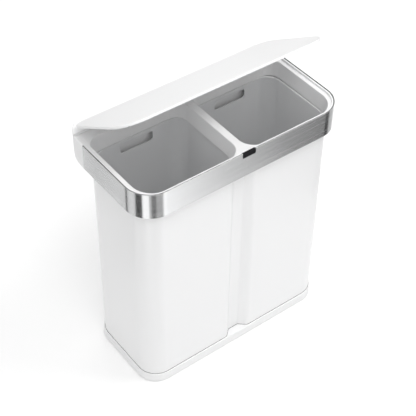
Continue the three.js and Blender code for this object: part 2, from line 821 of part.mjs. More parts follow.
function boardPosts() {
  const halfX = boardWidth / 2 - postInset;
  const halfZ = boardHeight / 2 - postInset;
  const places = [];
  for (const x of [boardX - halfX, boardX + halfX]) {
    for (const z of [boardZ - halfZ, boardZ + halfZ]) places.push({ x, z });
  }
  return places;
}

// ---------------------------------------------------------------- brackets
const innerCheek = armX - armWidth / 2 - sideGap - cheekThickness;
const outerCheek = armX + armWidth / 2 + gap + gearWidth + sideGap;
const wheelStart = outerCheek + cheekThickness + wheelRoom;
const gearPlate = wheelStart + wheelWidth + plateRoom;
const idlerDistance = driveModule * (largeTeeth + smallTeeth) / 2;
const idlerY = hingeY + idlerDistance * Math.cos(meshAngle);
const idlerZ = hingeZ + idlerDistance * Math.sin(meshAngle);
const motorDistance = motorModule * (largeTeeth + smallTeeth) / 2;
const motorY = idlerY + motorDistance * Math.cos(motorAngle);
const motorZ = idlerZ + motorDistance * Math.sin(motorAngle);
const leftOuterCheek = armX + armWidth / 2 + sideGap;
const motorStart = gearPlate + cheekThickness + gap;
const motorEnd = motorStart + motorLength;

// a bracket cheek: a plate that narrows from the web to a round boss on the hinge axis
function cheek(x) {
  const neck = hingeY - cheekNeck;
  const shape = outline([
    [bracketFront + bracketPlate / 2, hingeZ - cheekHeight / 2, 0],
    [neck, hingeZ - cheekBoss, 0],
    [neck, hingeZ + cheekBoss, 0],
    [bracketFront + bracketPlate / 2, hingeZ + cheekBoss, 0],
  ]);
  return sidePrism(shape, x, x + cheekThickness)
    .add(bar('x', cheekBoss, x, x + cheekThickness, hingeY, hingeZ));
}

function bracketBase(x0, x1) {
  const low = hingeZ - cheekHeight / 2 - bracketLow;
  const high = hingeZ + cheekHeight / 2 + bracketHigh;
  return box(x0, x1, bracketFront, bracketFace, low, high);
}

function drillBracket(body, side) {
  const pinBore = bar('x', pinRadius + shaftRun / 2, -overallWidth, overallWidth, hingeY, hingeZ);
  let drilled = body.subtract(pinBore);
  for (const place of bracketScrews()) {
    if (place.side === side) {
      const hole = bar('y', screwHole, bracketFront - cut, bracketFace + cut, place.x, place.z, 12);
      drilled = drilled.subtract(hole);
    }
  }
  return drilled;
}

function leftBracket() {
  const body = bracketBase(-leftOuterCheek - cheekThickness, -innerCheek)
    .add(cheek(-innerCheek - cheekThickness))
    .add(cheek(-leftOuterCheek - cheekThickness));
  return drillBracket(body, -1);
}

function rightBracket() {
  const plateLow = motorZ - cheekHeight / 2;
  const plateHigh = idlerZ + plateMargin;
  const plateEnd = gearPlate + cheekThickness;
  const gearCheek = outline([
    [bracketFront + bracketPlate / 2, plateLow, 0],
    [motorY + plateNose, motorZ - plateMargin / 2, plateMargin / 2],
    [idlerY + plateMargin, plateHigh, plateMargin - cut],
    [bracketFront + bracketPlate / 2, plateHigh, 0],
  ]);
  const body = bracketBase(innerCheek, plateEnd)
    .add(box(gearPlate, plateEnd, bracketFront, bracketFace, plateLow, hingeZ))
    .add(cheek(innerCheek))
    .add(cheek(outerCheek))
    .add(sidePrism(gearCheek, gearPlate, plateEnd));
  return drillBracket(body, 1)
    .subtract(bar('x', idlerShaft + shaftRun, outerCheek - cut, plateEnd + cut, idlerY, idlerZ, 20))
    .subtract(bar('x', motorShaft + 2 * shaftRun, gearPlate - cut, plateEnd + cut, motorY, motorZ, 16));
}

// a pin from inside the inner cheek to past the outer one, with its head at the inner end
function hingePin(side) {
  const from = innerCheek - gap;
  const to = (side > 0 ? outerCheek : leftOuterCheek) + cheekThickness + pinEnd;
  const pin = bar('x', pinRadius, from - pinHeadThickness, to, hingeY, hingeZ)
    .add(bar('x', pinHead, from - pinHeadThickness, from, hingeY, hingeZ));
  return side > 0 ? pin : pin.mirror([1, 0, 0]);
}

// ---------------------------------------------------------------- gears
function involute(angle) {
  return Math.tan(angle) - angle;
}

function polar(radius, angle) {
  return new THREE.Vector2(radius * Math.cos(angle), radius * Math.sin(angle));
}

// outline of a spur gear about the origin, with the middle of one tooth at `phase`
function gearPoints(module, teeth, shift, addendum, phase) {
  const pitch = module * teeth / 2;
  const base = pitch * Math.cos(pressureAngle);
  const tip = pitch + addendum * module;
  const root = pitch - (1.25 - shift) * module;
  const thickness = module * (Math.PI / 2 + 2 * shift * Math.tan(pressureAngle)) - toothBacklash;
  const pitchHalf = thickness / (2 * pitch);
  const halfAt = (radius) => {
    const pressure = radius > base ? Math.acos(base / radius) : 0;
    return pitchHalf + involute(pressureAngle) - involute(pressure);
  };
  const low = Math.max(base, root);
  const flank = [0, 0.5, 1].map((share) => low + (tip - low) * share);
  const points = [];
  for (let tooth = 0; tooth < teeth; tooth += 1) {
    const middle = phase + (tooth * 2 * Math.PI) / teeth;
    const side = root < base ? [root, ...flank] : flank;
    for (const radius of side) {
      points.push(polar(radius, middle - halfAt(radius)));
    }
    for (const radius of [...side].reverse()) {
      points.push(polar(radius, middle + halfAt(radius)));
    }
  }
  return points;
}

function gear(points, x0, x1, y, z) {
  return sidePrism(new THREE.Shape(points), x0, x1).translate([0, y, z]);
}

const largeAddendum = 1 - profileShift;
const smallStep = Math.PI / smallTeeth;
const largeStep = Math.PI / largeTeeth;
const sectorStart = armX + armWidth / 2 + gap;

// drawn closed: its tooth gap faces the idler once the lid is at rest
function driveGear() {
  const meshClosed = meshAngle + restOpening;
  const teeth = gearPoints(driveModule, largeTeeth, -profileShift, largeAddendum, meshClosed + largeStep);
  const sectorEnd = sectorStart + gearWidth;
  const wedge = new THREE.Shape();
  const reach = driveModule * largeTeeth;
  wedge.moveTo(hingeY, hingeZ);
  for (const share of [0, 0.5, 1]) {
    const angle = meshClosed - sectorBefore + share * (sectorBefore + sectorAfter);
    wedge.lineTo(hingeY + reach * Math.cos(angle), hingeZ + reach * Math.sin(angle));
  }
  wedge.closePath();
  return gear(teeth, sectorStart, sectorEnd, hingeY, hingeZ)
    .intersect(sidePrism(wedge, sectorStart - cut, sectorEnd + cut))
    .add(bar('x', armBoss, sectorStart, sectorEnd, hingeY, hingeZ))
    .subtract(bar('x', pinRadius + shaftRun, sectorStart - cut, sectorEnd + cut, hingeY, hingeZ));
}

function idlerGear() {
  const small = gearPoints(driveModule, smallTeeth, profileShift, pinionTip, meshAngle + Math.PI);
  const large = gearPoints(motorModule, largeTeeth, -profileShift, largeAddendum, motorAngle + largeStep);
  return gear(small, sectorStart, sectorStart + gearWidth, idlerY, idlerZ)
    .add(gear(large, wheelStart, wheelStart + wheelWidth, idlerY, idlerZ))
    .add(bar('x', idlerShaft, sectorStart, gearPlate + cheekThickness, idlerY, idlerZ, 20));
}

// the motor's pinion, shaft and armature turn as one
function motorPinion() {
  const teeth = gearPoints(motorModule, smallTeeth, profileShift, pinionTip, motorAngle + Math.PI);
  const inside = motorCap + armatureEnd;
  const armature = motorRadius - motorWall - armatureGap;
  return gear(teeth, wheelStart, wheelStart + wheelWidth, motorY, motorZ)
    .add(bar('x', motorShaft, wheelStart, motorEnd, motorY, motorZ, 16))
    .add(bar('x', armature, motorStart + inside, motorEnd - inside, motorY, motorZ));
}

function driveMotor() {
  return bar('x', motorRadius, motorStart, motorEnd, motorY, motorZ)
    .add(bar('x', motorBearing, motorEnd - cut, motorEnd + bearingLength, motorY, motorZ, 16))
    .subtract(bar('x', motorRadius - motorWall, motorStart + motorCap, motorEnd - motorCap, motorY, motorZ))
    .subtract(bar('x', motorShaft + 2 * shaftRun, motorStart - cut, motorEnd + cut, motorY, motorZ, 16));
}

// ---------------------------------------------------------------- batteries and controls
function cellRows() {
  const y = webBack + gap + trayFront + cellRadius + trayGap;
  const z = bandTop - cellDrop;
  return [{ y, z }, { y: y + rowStep, z: z + rowRise }];
}

function cellPlaces() {
  const places = [];
  for (const row of cellRows()) {
    for (let i = 0; i < cellsPerRow; i += 1) {
      places.push({ x: (i - (cellsPerRow - 1) / 2) * cellPitch, y: row.y, z: row.z });
    }
  }
  return places;
}

function cell(place) {
  const low = place.x - cellLength / 2;
  const high = place.x + cellLength / 2;
  return bar('x', cellRadius, low, high - cellNubLength, place.y, place.z, 20)
    .add(bar('x', cellNub, high - cellNubLength - cut / 2, high, place.y, place.z, 12));
}

function batteryTray() {
  const [low, high] = cellRows();
  const reach = cellRadius + trayGap;
  const frontY = webBack + gap;
  const rearY = high.y + reach + trayWall / 2;
  const roof = high.z + reach + trayWall;
  const block = outline([
    [frontY, low.z - reach, 0],
    [low.y + trayWall, low.z - trayWall, 0],
    [high.y - cellRadius / 2, high.z - cellRadius / 2, 0],
    [rearY, high.z - 2 * trayWall, 0],
    [rearY, roof - trayWall, 3 * trayWall],
    [high.y, roof, 0],
    [frontY, roof, 0],
  ]);
  let tray = sidePrism(block, -halfTray - trayWall, halfTray + trayWall);
  for (const row of [low, high]) {
    tray = tray.subtract(bar('x', reach, -halfTray, halfTray, row.y, row.z, 28));
  }
  const slope = outline([
    [low.y, low.z, 0], [high.y, high.z - reach, 0], [high.y + reach, high.z - reach, 0],
    [high.y + reach, high.z, 0], [high.y, high.z, 0],
  ]);
  return tray.subtract(sidePrism(slope, -halfTray, halfTray));
}

function controlBoard() {
  const start = webBack + boardStand + gap;
  const face = start + boardThickness;
  const part = (right, up, width, height, depth) => box(
    boardX + right - width / 2, boardX + right + width / 2, face - gap, face + depth,
    boardZ + up - height / 2, boardZ + up + height / 2);
  const board = box(boardX - boardWidth / 2, boardX + boardWidth / 2, start, face,
    boardZ - boardHeight / 2, boardZ + boardHeight / 2);
  const chip = part(-12, 0, 12, 12, 2.4);
  const relay = part(10, -6, 12, 8, 5);
  const capacitor = bar('y', 3, face - gap, face + 8, boardX + 22, boardZ + 6, 12);
  return board.add(chip).add(relay).add(capacitor);
}

// the switch's face, or with a margin the body behind it
function switchBlock(margin, y0, y1) {
  const x = pocketX + switchOffset;
  const halfX = switchWidth / 2 - margin;
  const halfZ = switchHeight / 2 - margin;
  return box(x - halfX, x + halfX, y0, y1, controlZ - halfZ, controlZ + halfZ);
}

function switchCut() {
  return switchBlock(switchFlange - gap, pocketPanel - pocketWall - cut, pocketPanel + cut);
}

function inletCut() {
  return bar('y', inletRadius - inletStep + gap, pocketPanel - pocketWall - cut, pocketPanel + cut,
    pocketX + inletOffset, controlZ, 16);
}

function powerSwitch() {
  const x = pocketX + switchOffset;
  const face = pocketPanel + gap + switchFlange;
  const halfWell = rockerWidth / 2 + 1;
  return switchBlock(0, pocketPanel + gap, face)
    .add(switchBlock(switchFlange, face - switchBody, face - cut))
    .subtract(box(x - halfWell, x + halfWell, face - rockerRoom, face + cut,
      controlZ - rockerHeight / 2 - gap, controlZ + rockerHeight / 2 + gap));
}

// the rocker tips about an upright axis; it is drawn level and turned to its resting side
function switchRocker() {
  const half = rockerWidth / 2;
  const shape = new THREE.Shape();
  shape.moveTo(-half, -1.5);
  shape.quadraticCurveTo(0, -5, half, -1.5);
  shape.lineTo(half, 1.9);
  shape.quadraticCurveTo(0, 0.9, -half, 1.9);
  shape.closePath();
  return prism(shape, -rockerHeight / 2, rockerHeight / 2);
}

function powerInlet() {
  const x = pocketX + inletOffset;
  const face = pocketPanel + gap + inletFlange;
  return bar('y', inletRadius, pocketPanel + gap, face, x, controlZ, 20)
    .add(bar('y', inletRadius - inletStep, face - inletLength, face - cut / 2, x, controlZ, 16))
    .subtract(bar('y', inletBore, face - inletDepth, face + cut, x, controlZ, 16))
    .add(bar('y', inletPin, face - inletDepth - cut, face - inletFlange, x, controlZ, 8));
}

// ---------------------------------------------------------------- sensor
const windowBack = front + windowDepth;
const windowLow = bandTop - windowHeight;

function sensorWindow() {
  return prism(outline(rectangle(-windowWidth / 2, windowWidth / 2, front, windowBack, [1, 1, 1, 1])),
    windowLow, bandTop, 2);
}

function sensorBoard() {
  const start = windowBack + gap;
  const face = start + lensStand;
  const high = rimUnder - gap;
  const half = sensorWidth / 2;
  let board = box(-half, half, face, face + boardThickness, high - sensorDrop, high);
  for (const x of [-lensPitch, 0, lensPitch]) {
    board = board.add(bar('y', lensRadius, start, face + gap, x, windowLow + lensRadius, 10));
  }
  return board;
}

// ---------------------------------------------------------------- assembly
const home = new THREE.Group();
home.add(piece('base_tray', baseTray(), whitePlastic));
for (const foot of footCentres()) {
  home.add(piece(`foot_pad_${foot.name}`, bar('z', footRadius, 0, footThickness, foot.x, foot.y), rubber));
}
home.add(piece('body_shell', bodyShell(), whitePaint));
home.add(piece('steel_band', steelBand(), brushedSteel));
home.add(piece('top_frame', topFrame(), whitePlastic));
home.add(piece('left_bucket', bucket(-1), greyPlastic));
home.add(piece('right_bucket', bucket(1), greyPlastic));
home.add(piece('rear_housing', rearHousing(), whitePlastic));
home.add(piece('battery_door', batteryDoor(), whitePlastic));
home.add(piece('hinge_bracket_left', leftBracket(), zincSteel));
home.add(piece('hinge_bracket_right', rightBracket(), zincSteel));
home.add(piece('hinge_pin_left', hingePin(-1), zincSteel));
home.add(piece('hinge_pin_right', hingePin(1), zincSteel));
home.add(piece('idler_gear', idlerGear(), gearPlastic));
home.add(piece('motor_pinion', motorPinion(), zincSteel));
home.add(piece('drive_motor', driveMotor(), zincSteel));
home.add(piece('battery_tray', batteryTray(), blackPlastic));
cellPlaces().forEach((place, i) => home.add(piece(`battery_cell_${i + 1}`, cell(place), cellJacket)));
home.add(piece('control_board', controlBoard(), boardGreen));
home.add(piece('power_switch', powerSwitch(), blackPlastic));
home.add(piece('power_inlet', powerInlet(), blackPlastic));
home.add(piece('sensor_window', sensorWindow(), blackGloss));
home.add(piece('sensor_board', sensorBoard(), boardGreen));
for (const place of bracketScrews()) {
  const name = `bracket_screw_${place.side > 0 ? 'right' : 'left'}_${place.z > hingeZ ? 'upper' : 'lower'}`;
  home.add(piece(name, screw('y', place.x, place.z, bracketFace + gap / 3, webFront + gap / 3), zincSteel));
}
for (const boss of housingBosses()) {
  const name = `housing_screw_${boss.side > 0 ? 'right' : 'left'}`;
  const seat = boss.low - screwSeat - gap / 3;
  home.add(piece(name, screw('z', boss.x, boss.y, seat, boss.high - 2 * cut), zincSteel));
}

const rocker = piece('switch_rocker', switchRocker(), blackPlastic);
rocker.position.set(pocketX + switchOffset, pocketPanel + gap + switchFlange, controlZ);
rocker.rotation.z = rockerTilt;
home.add(rocker);

// the lid and what turns with it are drawn closed, about the hinge axis, and opened together
const lid = new THREE.Group();
lid.position.set(0, hingeY, hingeZ);
lid.rotation.x = -restOpening;
function onLid(name, body, material) {
  const mesh = piece(name, body, material);
  mesh.position.set(0, -hingeY, -hingeZ);
  lid.add(mesh);
}
onLid('lid_panel', lidPanel(), whitePlastic);
onLid('lid_liner', lidLiner(), whitePlastic);
onLid('drive_gear', driveGear(), gearPlastic);
for (const side of [1, -1]) {
  const word = side > 0 ? 'right' : 'left';
  onLid(`hinge_arm_${word}`, hingeArm(side), whitePlastic);
  onLid(`lid_bumper_${word}`, lidBumper(side), rubber);
  armScrews(side).forEach((place, i) => {
    const body = screw('z', place.x, place.y, footUnder - gap / 3, place.tip);
    onLid(`arm_screw_${word}_${i + 1}`, body, zincSteel);
  });
}
home.add(lid);

export default home;
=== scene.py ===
import math

import bmesh
import bpy
from mathutils import Matrix, Vector
from mathutils.geometry import delaunay_2d_cdt


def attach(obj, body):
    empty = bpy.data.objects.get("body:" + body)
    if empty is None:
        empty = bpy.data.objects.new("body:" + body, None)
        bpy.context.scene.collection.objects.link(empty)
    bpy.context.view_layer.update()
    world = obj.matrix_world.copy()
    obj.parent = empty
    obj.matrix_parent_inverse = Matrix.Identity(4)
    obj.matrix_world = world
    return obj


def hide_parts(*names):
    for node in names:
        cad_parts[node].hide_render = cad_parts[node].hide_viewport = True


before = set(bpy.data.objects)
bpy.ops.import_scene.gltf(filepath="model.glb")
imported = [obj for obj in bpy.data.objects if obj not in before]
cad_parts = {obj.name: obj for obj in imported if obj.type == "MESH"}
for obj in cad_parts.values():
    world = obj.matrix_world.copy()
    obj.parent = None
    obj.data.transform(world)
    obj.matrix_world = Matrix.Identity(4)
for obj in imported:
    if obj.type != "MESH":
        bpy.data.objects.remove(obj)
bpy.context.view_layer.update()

MM = 0.001

# ------------------------------------------------------------------ sizes, in millimetres
SHEET = 1.0                             # thickness of the body's and the band's steel
FRONT, BACK = -162.5, 162.5             # the front of the band and the back of the rear housing
HALF_BAND, BAND_CORNER = 283.0, 65.0
BAND_TOP, BAND_BOTTOM, BAND_END = 642.5, 575.0, 66.9
HALF_BODY, BODY_FRONT, BODY_BACK, BODY_CORNER = 267.7, -147.2, 93.0, 50.9
BODY_BOTTOM, BODY_TOP = 27.8, 604.0
CHANNEL_BACK = BODY_FRONT + 17
BASE_TOP, BASE_BOTTOM, BASE_REACH = 27.5, 1.5, 3.8      # the base reaches out beyond the body
BASE_SKIN = 24.5                        # underside of the base's upper face
RIBS_ACROSS, RIBS_ALONG = (-151.0, 247.8, 3), (-271.5, 543.0, 6)        # start, span and bays
RIB_HALF, RIB_FOOT = 1.0, 4.5
FOOT_X, FOOT_FRONT, FOOT_REAR = 207.7, -102.2, 48.0
FOOT_RADIUS, FOOT_HEIGHT, BOSS_RADIUS, BOSS_FOOT = 12.0, 5.2, 16.0, 5.6

RIM_TOP, RIM_UNDER = 636.3, 633.3       # the frame's level plate
FRAME_INSET, FRAME_BACK = 1.3, 110.0
FRAME_STEP, REAR_INSET, HALF_REAR = 66.6, 3.3, 278.4    # behind the step it follows the rear housing
MOUTH_FRONT, MOUTH_BACK = -152.5, 84.0
MOUTH_ROLL, FUNNEL_WALL, FUNNEL_BOTTOM = 2.0, 2.2, 595.3
ARM_X, ARM_SLOT = 190.0, 17.0           # place and width of the slots for the lid's arms
SLOT_END, SLOT_BACK = 86.6, 135.0
SKIRT_FOOT = 575.3
FLANGE_END, FLANGE_LOW, FLANGE_HIGH = 66.4, 575.35, 577.8
REAR_WALL = (-240.0, 240.0, 93.3, 96.3, 580.0, 633.2)   # the frame's wall behind the body, as a block
SENSOR_HALF, SENSOR_LOW, SENSOR_HIGH = 18.0, 629.0, 642.5
NOTCH_HALF, NOTCH_LOW = 18.2, 628.8     # the band's notch for the sensor window

BUCKET_TOP, BUCKET_LIP, BUCKET_FLOOR, BUCKET_BOTTOM = 593.8, 590.8, 30.8, 27.8
BUCKET_MIDDLE, BUCKET_DRAFT, BUCKET_INSET, BUCKET_WALL = 134.35, 3.0, 3.0, 2.2
GRIP_HALF, GRIP_LOW, GRIP_HIGH, GRIP_CORNER = 45, 557.8, 582.8, 7.0

HOUSING_FRONT, HOUSING_WALL, HOUSING_ROLL = 67.2, 3.0, 2.6
UNDER_LOW, UNDER_RISE, UNDER_REACH = 571.5, 58.0, 108.5 # the housing's curved underside
SCREW_X, SCREW_Y, SCREW_ROOM = 140.0, 104.3, 4.0
DOOR = (-88.0, 88.0, 101.0, 170.0, 500.0, 625.0)        # the hole for the battery door, as a block
DOOR_GAP, DOOR_CORNER = 0.4, 3.0
GRIP_LINES, LINE_FIRST, LINE_PITCH, LINE_LENGTH = 5, 146.0, 2.4, 32.0
LID_TOP, LID_UNDER, LID_SKIN, LINER_TOP = 642.75, 637.5, 640.0, 639.7       # with the lid shut
HINGE = Vector((0.0, 138.0, 614.0))
OPENING = math.radians(32.4)


# ------------------------------------------------------------------ camera
CAMERA_ANGLES = (-37.5575, 43.5599, 0.89)               # azimuth, elevation and roll, in degrees
CAMERA_PLACE = (-1.1696, -1.5389, 2.186)                # in metres
LENS, SENSOR_WIDTH = 94.67, 36.0


def camera():
    azimuth, elevation, roll = (math.radians(angle) for angle in CAMERA_ANGLES)
    back = Vector((math.sin(azimuth) * math.cos(elevation),
                   -math.cos(azimuth) * math.cos(elevation), math.sin(elevation)))
    right = Vector((math.cos(azimuth), math.sin(azimuth), 0.0))
    up = back.cross(right)
    across = right * math.cos(roll) + up * math.sin(roll)
    upward = up * math.cos(roll) - right * math.sin(roll)
    data = bpy.data.cameras.new("camera")
    data.sensor_width = SENSOR_WIDTH
    data.lens = LENS
    data.clip_end = 60.0
    obj = bpy.data.objects.new("camera", data)
    bpy.context.collection.objects.link(obj)
    turn = Matrix((across, upward, back)).transposed().to_4x4()
    obj.matrix_world = Matrix.Translation(CAMERA_PLACE) @ turn
    bpy.context.scene.camera = obj


camera()


# ------------------------------------------------------------------ materials
def new_material(name, color, roughness, metallic=0.0):
    material = bpy.data.materials.new(name)
    material.use_nodes = True
    shader = material.node_tree.nodes["Principled BSDF"]
    shader.inputs["Base Color"].default_value = (*color, 1.0)
    shader.inputs["Roughness"].default_value = roughness
    shader.inputs["Metallic"].default_value = metallic
    return material, shader


def add(material, kind, **inputs):
    """A new node, with the values of its inputs by name."""
    node = material.node_tree.nodes.new(kind)
    for name, value in inputs.items():
        node.inputs[name.replace("_", " ")].default_value = value
    return node


def link(material, a, b):
    material.node_tree.links.new(a, b)


def noise(material, scale, detail=2.0, stretch=None):
    """Noise that lies still in the piece; stretch multiplies its frequency along each axis."""
    place = add(material, "ShaderNodeTexCoord").outputs["Object"]
    pattern = add(material, "ShaderNodeTexNoise", Scale=scale, Detail=detail)
    if stretch:
        mapping = add(material, "ShaderNodeMapping", Scale=stretch)
        link(material, place, mapping.inputs["Vector"])
        place = mapping.outputs["Vector"]
    link(material, place, pattern.inputs["Vector"])
    return pattern.outputs["Fac"]


def bump(material, shader, height, strength, distance):
    node = add(material, "ShaderNodeBump", Strength=strength, Distance=distance)
    link(material, height, node.inputs["Height"])
    link(material, node.outputs["Normal"], shader.inputs["Normal"])


def spread(material, shader, source, low, high):
    """Vary the roughness from low to high with the source."""
    ramp = add(material, "ShaderNodeMapRange", From_Min=0.3, From_Max=0.7, To_Min=low, To_Max=high)
    link(material, source, ramp.inputs["Value"])
    link(material, ramp.outputs["Result"], shader.inputs["Roughness"])


def tint(material, shader, source, color, shade):
    """Vary the colour with the source, from shade times the colour to the colour itself."""
    mix = material.node_tree.nodes.new("ShaderNodeMix")
    mix.data_type = "RGBA"
    factor, first, second, result = mix.inputs[0], mix.inputs[6], mix.inputs[7], mix.outputs[2]
    first.default_value = (*(c * shade for c in color), 1.0)
    second.default_value = (*color, 1.0)
    link(material, source, factor)
    link(material, result, shader.inputs["Base Color"])


def moulded(name, color, roughness, grain=0.06, size=1400.0):
    """Moulded plastic: a fine spark-eroded grain and a slow drift in gloss and shade."""
    material, shader = new_material(name, color, roughness)
    bump(material, shader, noise(material, size, 3.0), grain, 0.0002)
    drift = noise(material, 9.0)
    spread(material, shader, drift, roughness - 0.05, roughness + 0.06)
    tint(material, shader, drift, color, 0.985)
    shader.inputs["IOR"].default_value = 1.49
    return material


def painted(name, color, roughness):
    """Powder coat on sheet steel: a soft orange peel under a slightly glossy skin."""
    material, shader = new_material(name, color, roughness)
    bump(material, shader, noise(material, 260.0), 0.05, 0.0003)
    drift = noise(material, 7.0)
    spread(material, shader, drift, roughness - 0.04, roughness + 0.05)
    tint(material, shader, drift, color, 0.99)
    shader.inputs["Coat Weight"].default_value = 0.25
    shader.inputs["Coat Roughness"].default_value = 0.25
    return material


def brushed(name, color, roughness):
    """Brushed stainless sheet: fine lines along the band, broken up in gloss and shade."""
    material, shader = new_material(name, color, roughness, 1.0)
    lines = noise(material, 6.0, 6.0, (0.12, 0.12, 260.0))
    bump(material, shader, lines, 0.07, 0.0002)
    spread(material, shader, lines, roughness - 0.08, roughness + 0.1)
    tint(material, shader, noise(material, 3.0, 4.0, (0.3, 0.3, 90.0)), color, 0.96)
    shader.inputs["Anisotropic"].default_value = 0.75
    shader.inputs["Anisotropic Rotation"].default_value = 0.25
    tangent = material.node_tree.nodes.new("ShaderNodeTangent")
    tangent.direction_type = "RADIAL"
    tangent.axis = "Z"
    link(material, tangent.outputs["Tangent"], shader.inputs["Tangent"])
    return material


def plated(name, color, roughness):
    """Zinc-plated steel with a faint cloudy grain."""
    material, shader = new_material(name, color, roughness, 1.0)
    grain = noise(material, 700.0, 3.0)
    bump(material, shader, grain, 0.08, 0.0002)
    spread(material, shader, grain, roughness - 0.06, roughness + 0.08)
    tint(material, shader, noise(material, 60.0), color, 0.9)
    return material


def glossy(name, color, roughness):
    """Dark moulded window with a polished face."""
    material, shader = new_material(name, color, roughness)
    drift = noise(material, 40.0)
    spread(material, shader, drift, roughness, roughness + 0.04)
    tint(material, shader, drift, color, 0.8)
    shader.inputs["Specular IOR Level"].default_value = 0.2
    return material


WHITE = moulded("white_moulding", (0.9, 0.9, 0.902), 0.42)
LID_WHITE = moulded("white_lid", (0.9, 0.9, 0.902), 0.38, grain=0.04)
PAINT = painted("white_paint", (0.9, 0.901, 0.904), 0.34)
STEEL = brushed("brushed_steel", (0.78, 0.785, 0.79), 0.2)
GREY = moulded("grey_moulding", (0.8, 0.804, 0.81), 0.55, grain=0.1)
BLACK = moulded("black_moulding", (0.02, 0.02, 0.022), 0.5)
WINDOW = glossy("sensor_window", (0.006, 0.006, 0.008), 0.06)
RUBBER = moulded("grey_rubber", (0.09, 0.09, 0.095), 0.8, grain=0.3, size=900.0)
ZINC = plated("zinc_plate", (0.62, 0.63, 0.64), 0.35)
ACETAL = moulded("natural_acetal", (0.72, 0.69, 0.61), 0.45)
BOARD = moulded("circuit_board", (0.015, 0.11, 0.05), 0.4)
CELL = moulded("cell_jacket", (0.05, 0.06, 0.07), 0.35)


# ------------------------------------------------------------------ outlines
def outline(corners, inset=0.0, seg=14):
    """Points of a closed outline through corners (x, y, radius), moved in by inset.

    The corners run counter-clockwise, and each gets seg steps."""
    count = len(corners)
    lines = []
    for i in range(count):
        x, y, _ = corners[i]
        x2, y2, _ = corners[(i + 1) % count]
        length = math.hypot(x2 - x, y2 - y)
        ux, uy = (x2 - x) / length, (y2 - y) / length
        lines.append((ux, uy, x - uy * inset, y + ux * inset))
    points = []
    for i in range(count):
        ux0, uy0, ax0, ay0 = lines[i - 1]
        ux1, uy1, ax1, ay1 = lines[i]
        turn = ux0 * uy1 - uy0 * ux1
        reach = ((ax1 - ax0) * uy1 - (ay1 - ay0) * ux1) / turn
        x, y = ax0 + ux0 * reach, ay0 + uy0 * reach
        side = 1.0 if turn > 0 else -1.0
        radius = max(corners[i][2] - side * inset, 0.05)
        angle = abs(math.atan2(turn, ux0 * ux1 + uy0 * uy1))
        back_off = radius * math.tan(angle / 2)
        sx, sy = x - ux0 * back_off, y - uy0 * back_off
        cx, cy = sx - uy0 * radius * side, sy + ux0 * radius * side
        start = math.atan2(sy - cy, sx - cx)
        for k in range(seg + 1):
            a = start + side * angle * k / seg
            points.append((cx + radius * math.cos(a), cy + radius * math.sin(a)))
    return points


def rectangle(x0, x1, y0, y1, radii):
    """Corners of a rectangle, counter-clockwise from the least x and y."""
    return [(x0, y0, radii[0]), (x1, y0, radii[1]), (x1, y1, radii[2]), (x0, y1, radii[3])]


def mirrored(corners):
    return [(-x, y, r) for x, y, r in corners][::-1]


BAND = rectangle(-HALF_BAND, HALF_BAND, FRONT, 600.0, (BAND_CORNER, BAND_CORNER, 0.0, 0.0))
PLAIN = rectangle(-HALF_BODY, HALF_BODY, BODY_FRONT, BODY_BACK, (BODY_CORNER,) * 4)
CHANNELLED = [PLAIN[0], (-33.0, BODY_FRONT, 18.0), (-15.0, CHANNEL_BACK, 6.0),
              (15.0, CHANNEL_BACK, 6.0), (33.0, BODY_FRONT, 18.0), *PLAIN[1:]]
HOUSING = rectangle(-281.7, 281.7, -600.0, BACK, (0.0, 0.0, 74.0, 74.0))
BUCKET = rectangle(6.0, 262.7, -142.0, 84.0, (42.0,) * 4)
LID = rectangle(-275.6, 275.6, -155.1, 104.7, (57.6, 57.6, 39.0, 39.0))


def at(points, z):
    return [(x, y, z) for x, y in points]


def facing(points, y):
    """Points (x, z) of an outline that faces the front, at the depth y."""
    return [(x, y, z) for x, z in points]


def stack(corners, path, seg=14):
    """Level rings of an outline, one for each (inset, z) of the path."""
    return [at(outline(corners, inset, seg), z) for inset, z in path]


def front_run(points, limit):
    """The part of a closed outline in front of y = limit, in one run from the left to the right."""
    start = next(i for i in range(len(points)) if points[i - 1][1] >= limit > points[i][1])
    run = [p for p in points[start:] + points[:start] if p[1] < limit]
    return run if run[0][0] < 0 else run[::-1]


def band_run(inset, z, end=FRAME_STEP, seg=24):
    """The front and the sides of the band's outline at height z, as far back as y = end."""
    run = front_run(outline(BAND, inset, seg), end)
    return [(run[0][0], end, z), *at(run, z), (run[-1][0], end, z)]


def rounded(radius, steps=4):
    """(inset, drop) pairs round a convex edge, from the side face up to the top face."""
    return [(radius * (1 - math.cos(a)), radius * (1 - math.sin(a)))
            for a in (math.pi / 2 * k / steps for k in range(steps + 1))]


def upper_edge(radius, inset, z, steps):
    """Path (inset, z) up and round the upper edge of a form whose top is at z."""
    return [(inset + extra, z - drop) for extra, drop in rounded(radius, steps)]


def lower_edge(radius, inset, z, steps):
    """Path (inset, z) out and round the lower edge of a form whose foot is at z."""
    return [(inset + extra, z + drop) for extra, drop in reversed(rounded(radius, steps))]


# ------------------------------------------------------------------ shapes, as (verts, faces)
def tube(rings, closed=False, cap_first=True, cap_last=True):
    """Quads between rings of equal length; closed joins the last ring to the first."""
    count = len(rings[0])
    verts = [p for ring in rings for p in ring]
    faces = []
    levels = len(rings) if closed else len(rings) - 1
    for level in range(levels):
        low, high = level * count, ((level + 1) % len(rings)) * count
        for i in range(count):
            j = (i + 1) % count
            faces.append((low + i, low + j, high + j, high + i))
    if not closed and cap_first:
        faces.append(tuple(range(count - 1, -1, -1)))
    if not closed and cap_last:
        faces.append(tuple(range((len(rings) - 1) * count, len(rings) * count)))
    return verts, faces


def sheet(rings):
    """Open strips of faces between runs of points that all go the same way."""
    count = len(rings[0])
    verts = [p for ring in rings for p in ring]
    return verts, [(a * count + i, a * count + i + 1, (a + 1) * count + i + 1, (a + 1) * count + i)
                   for a in range(len(rings) - 1) for i in range(count - 1)]


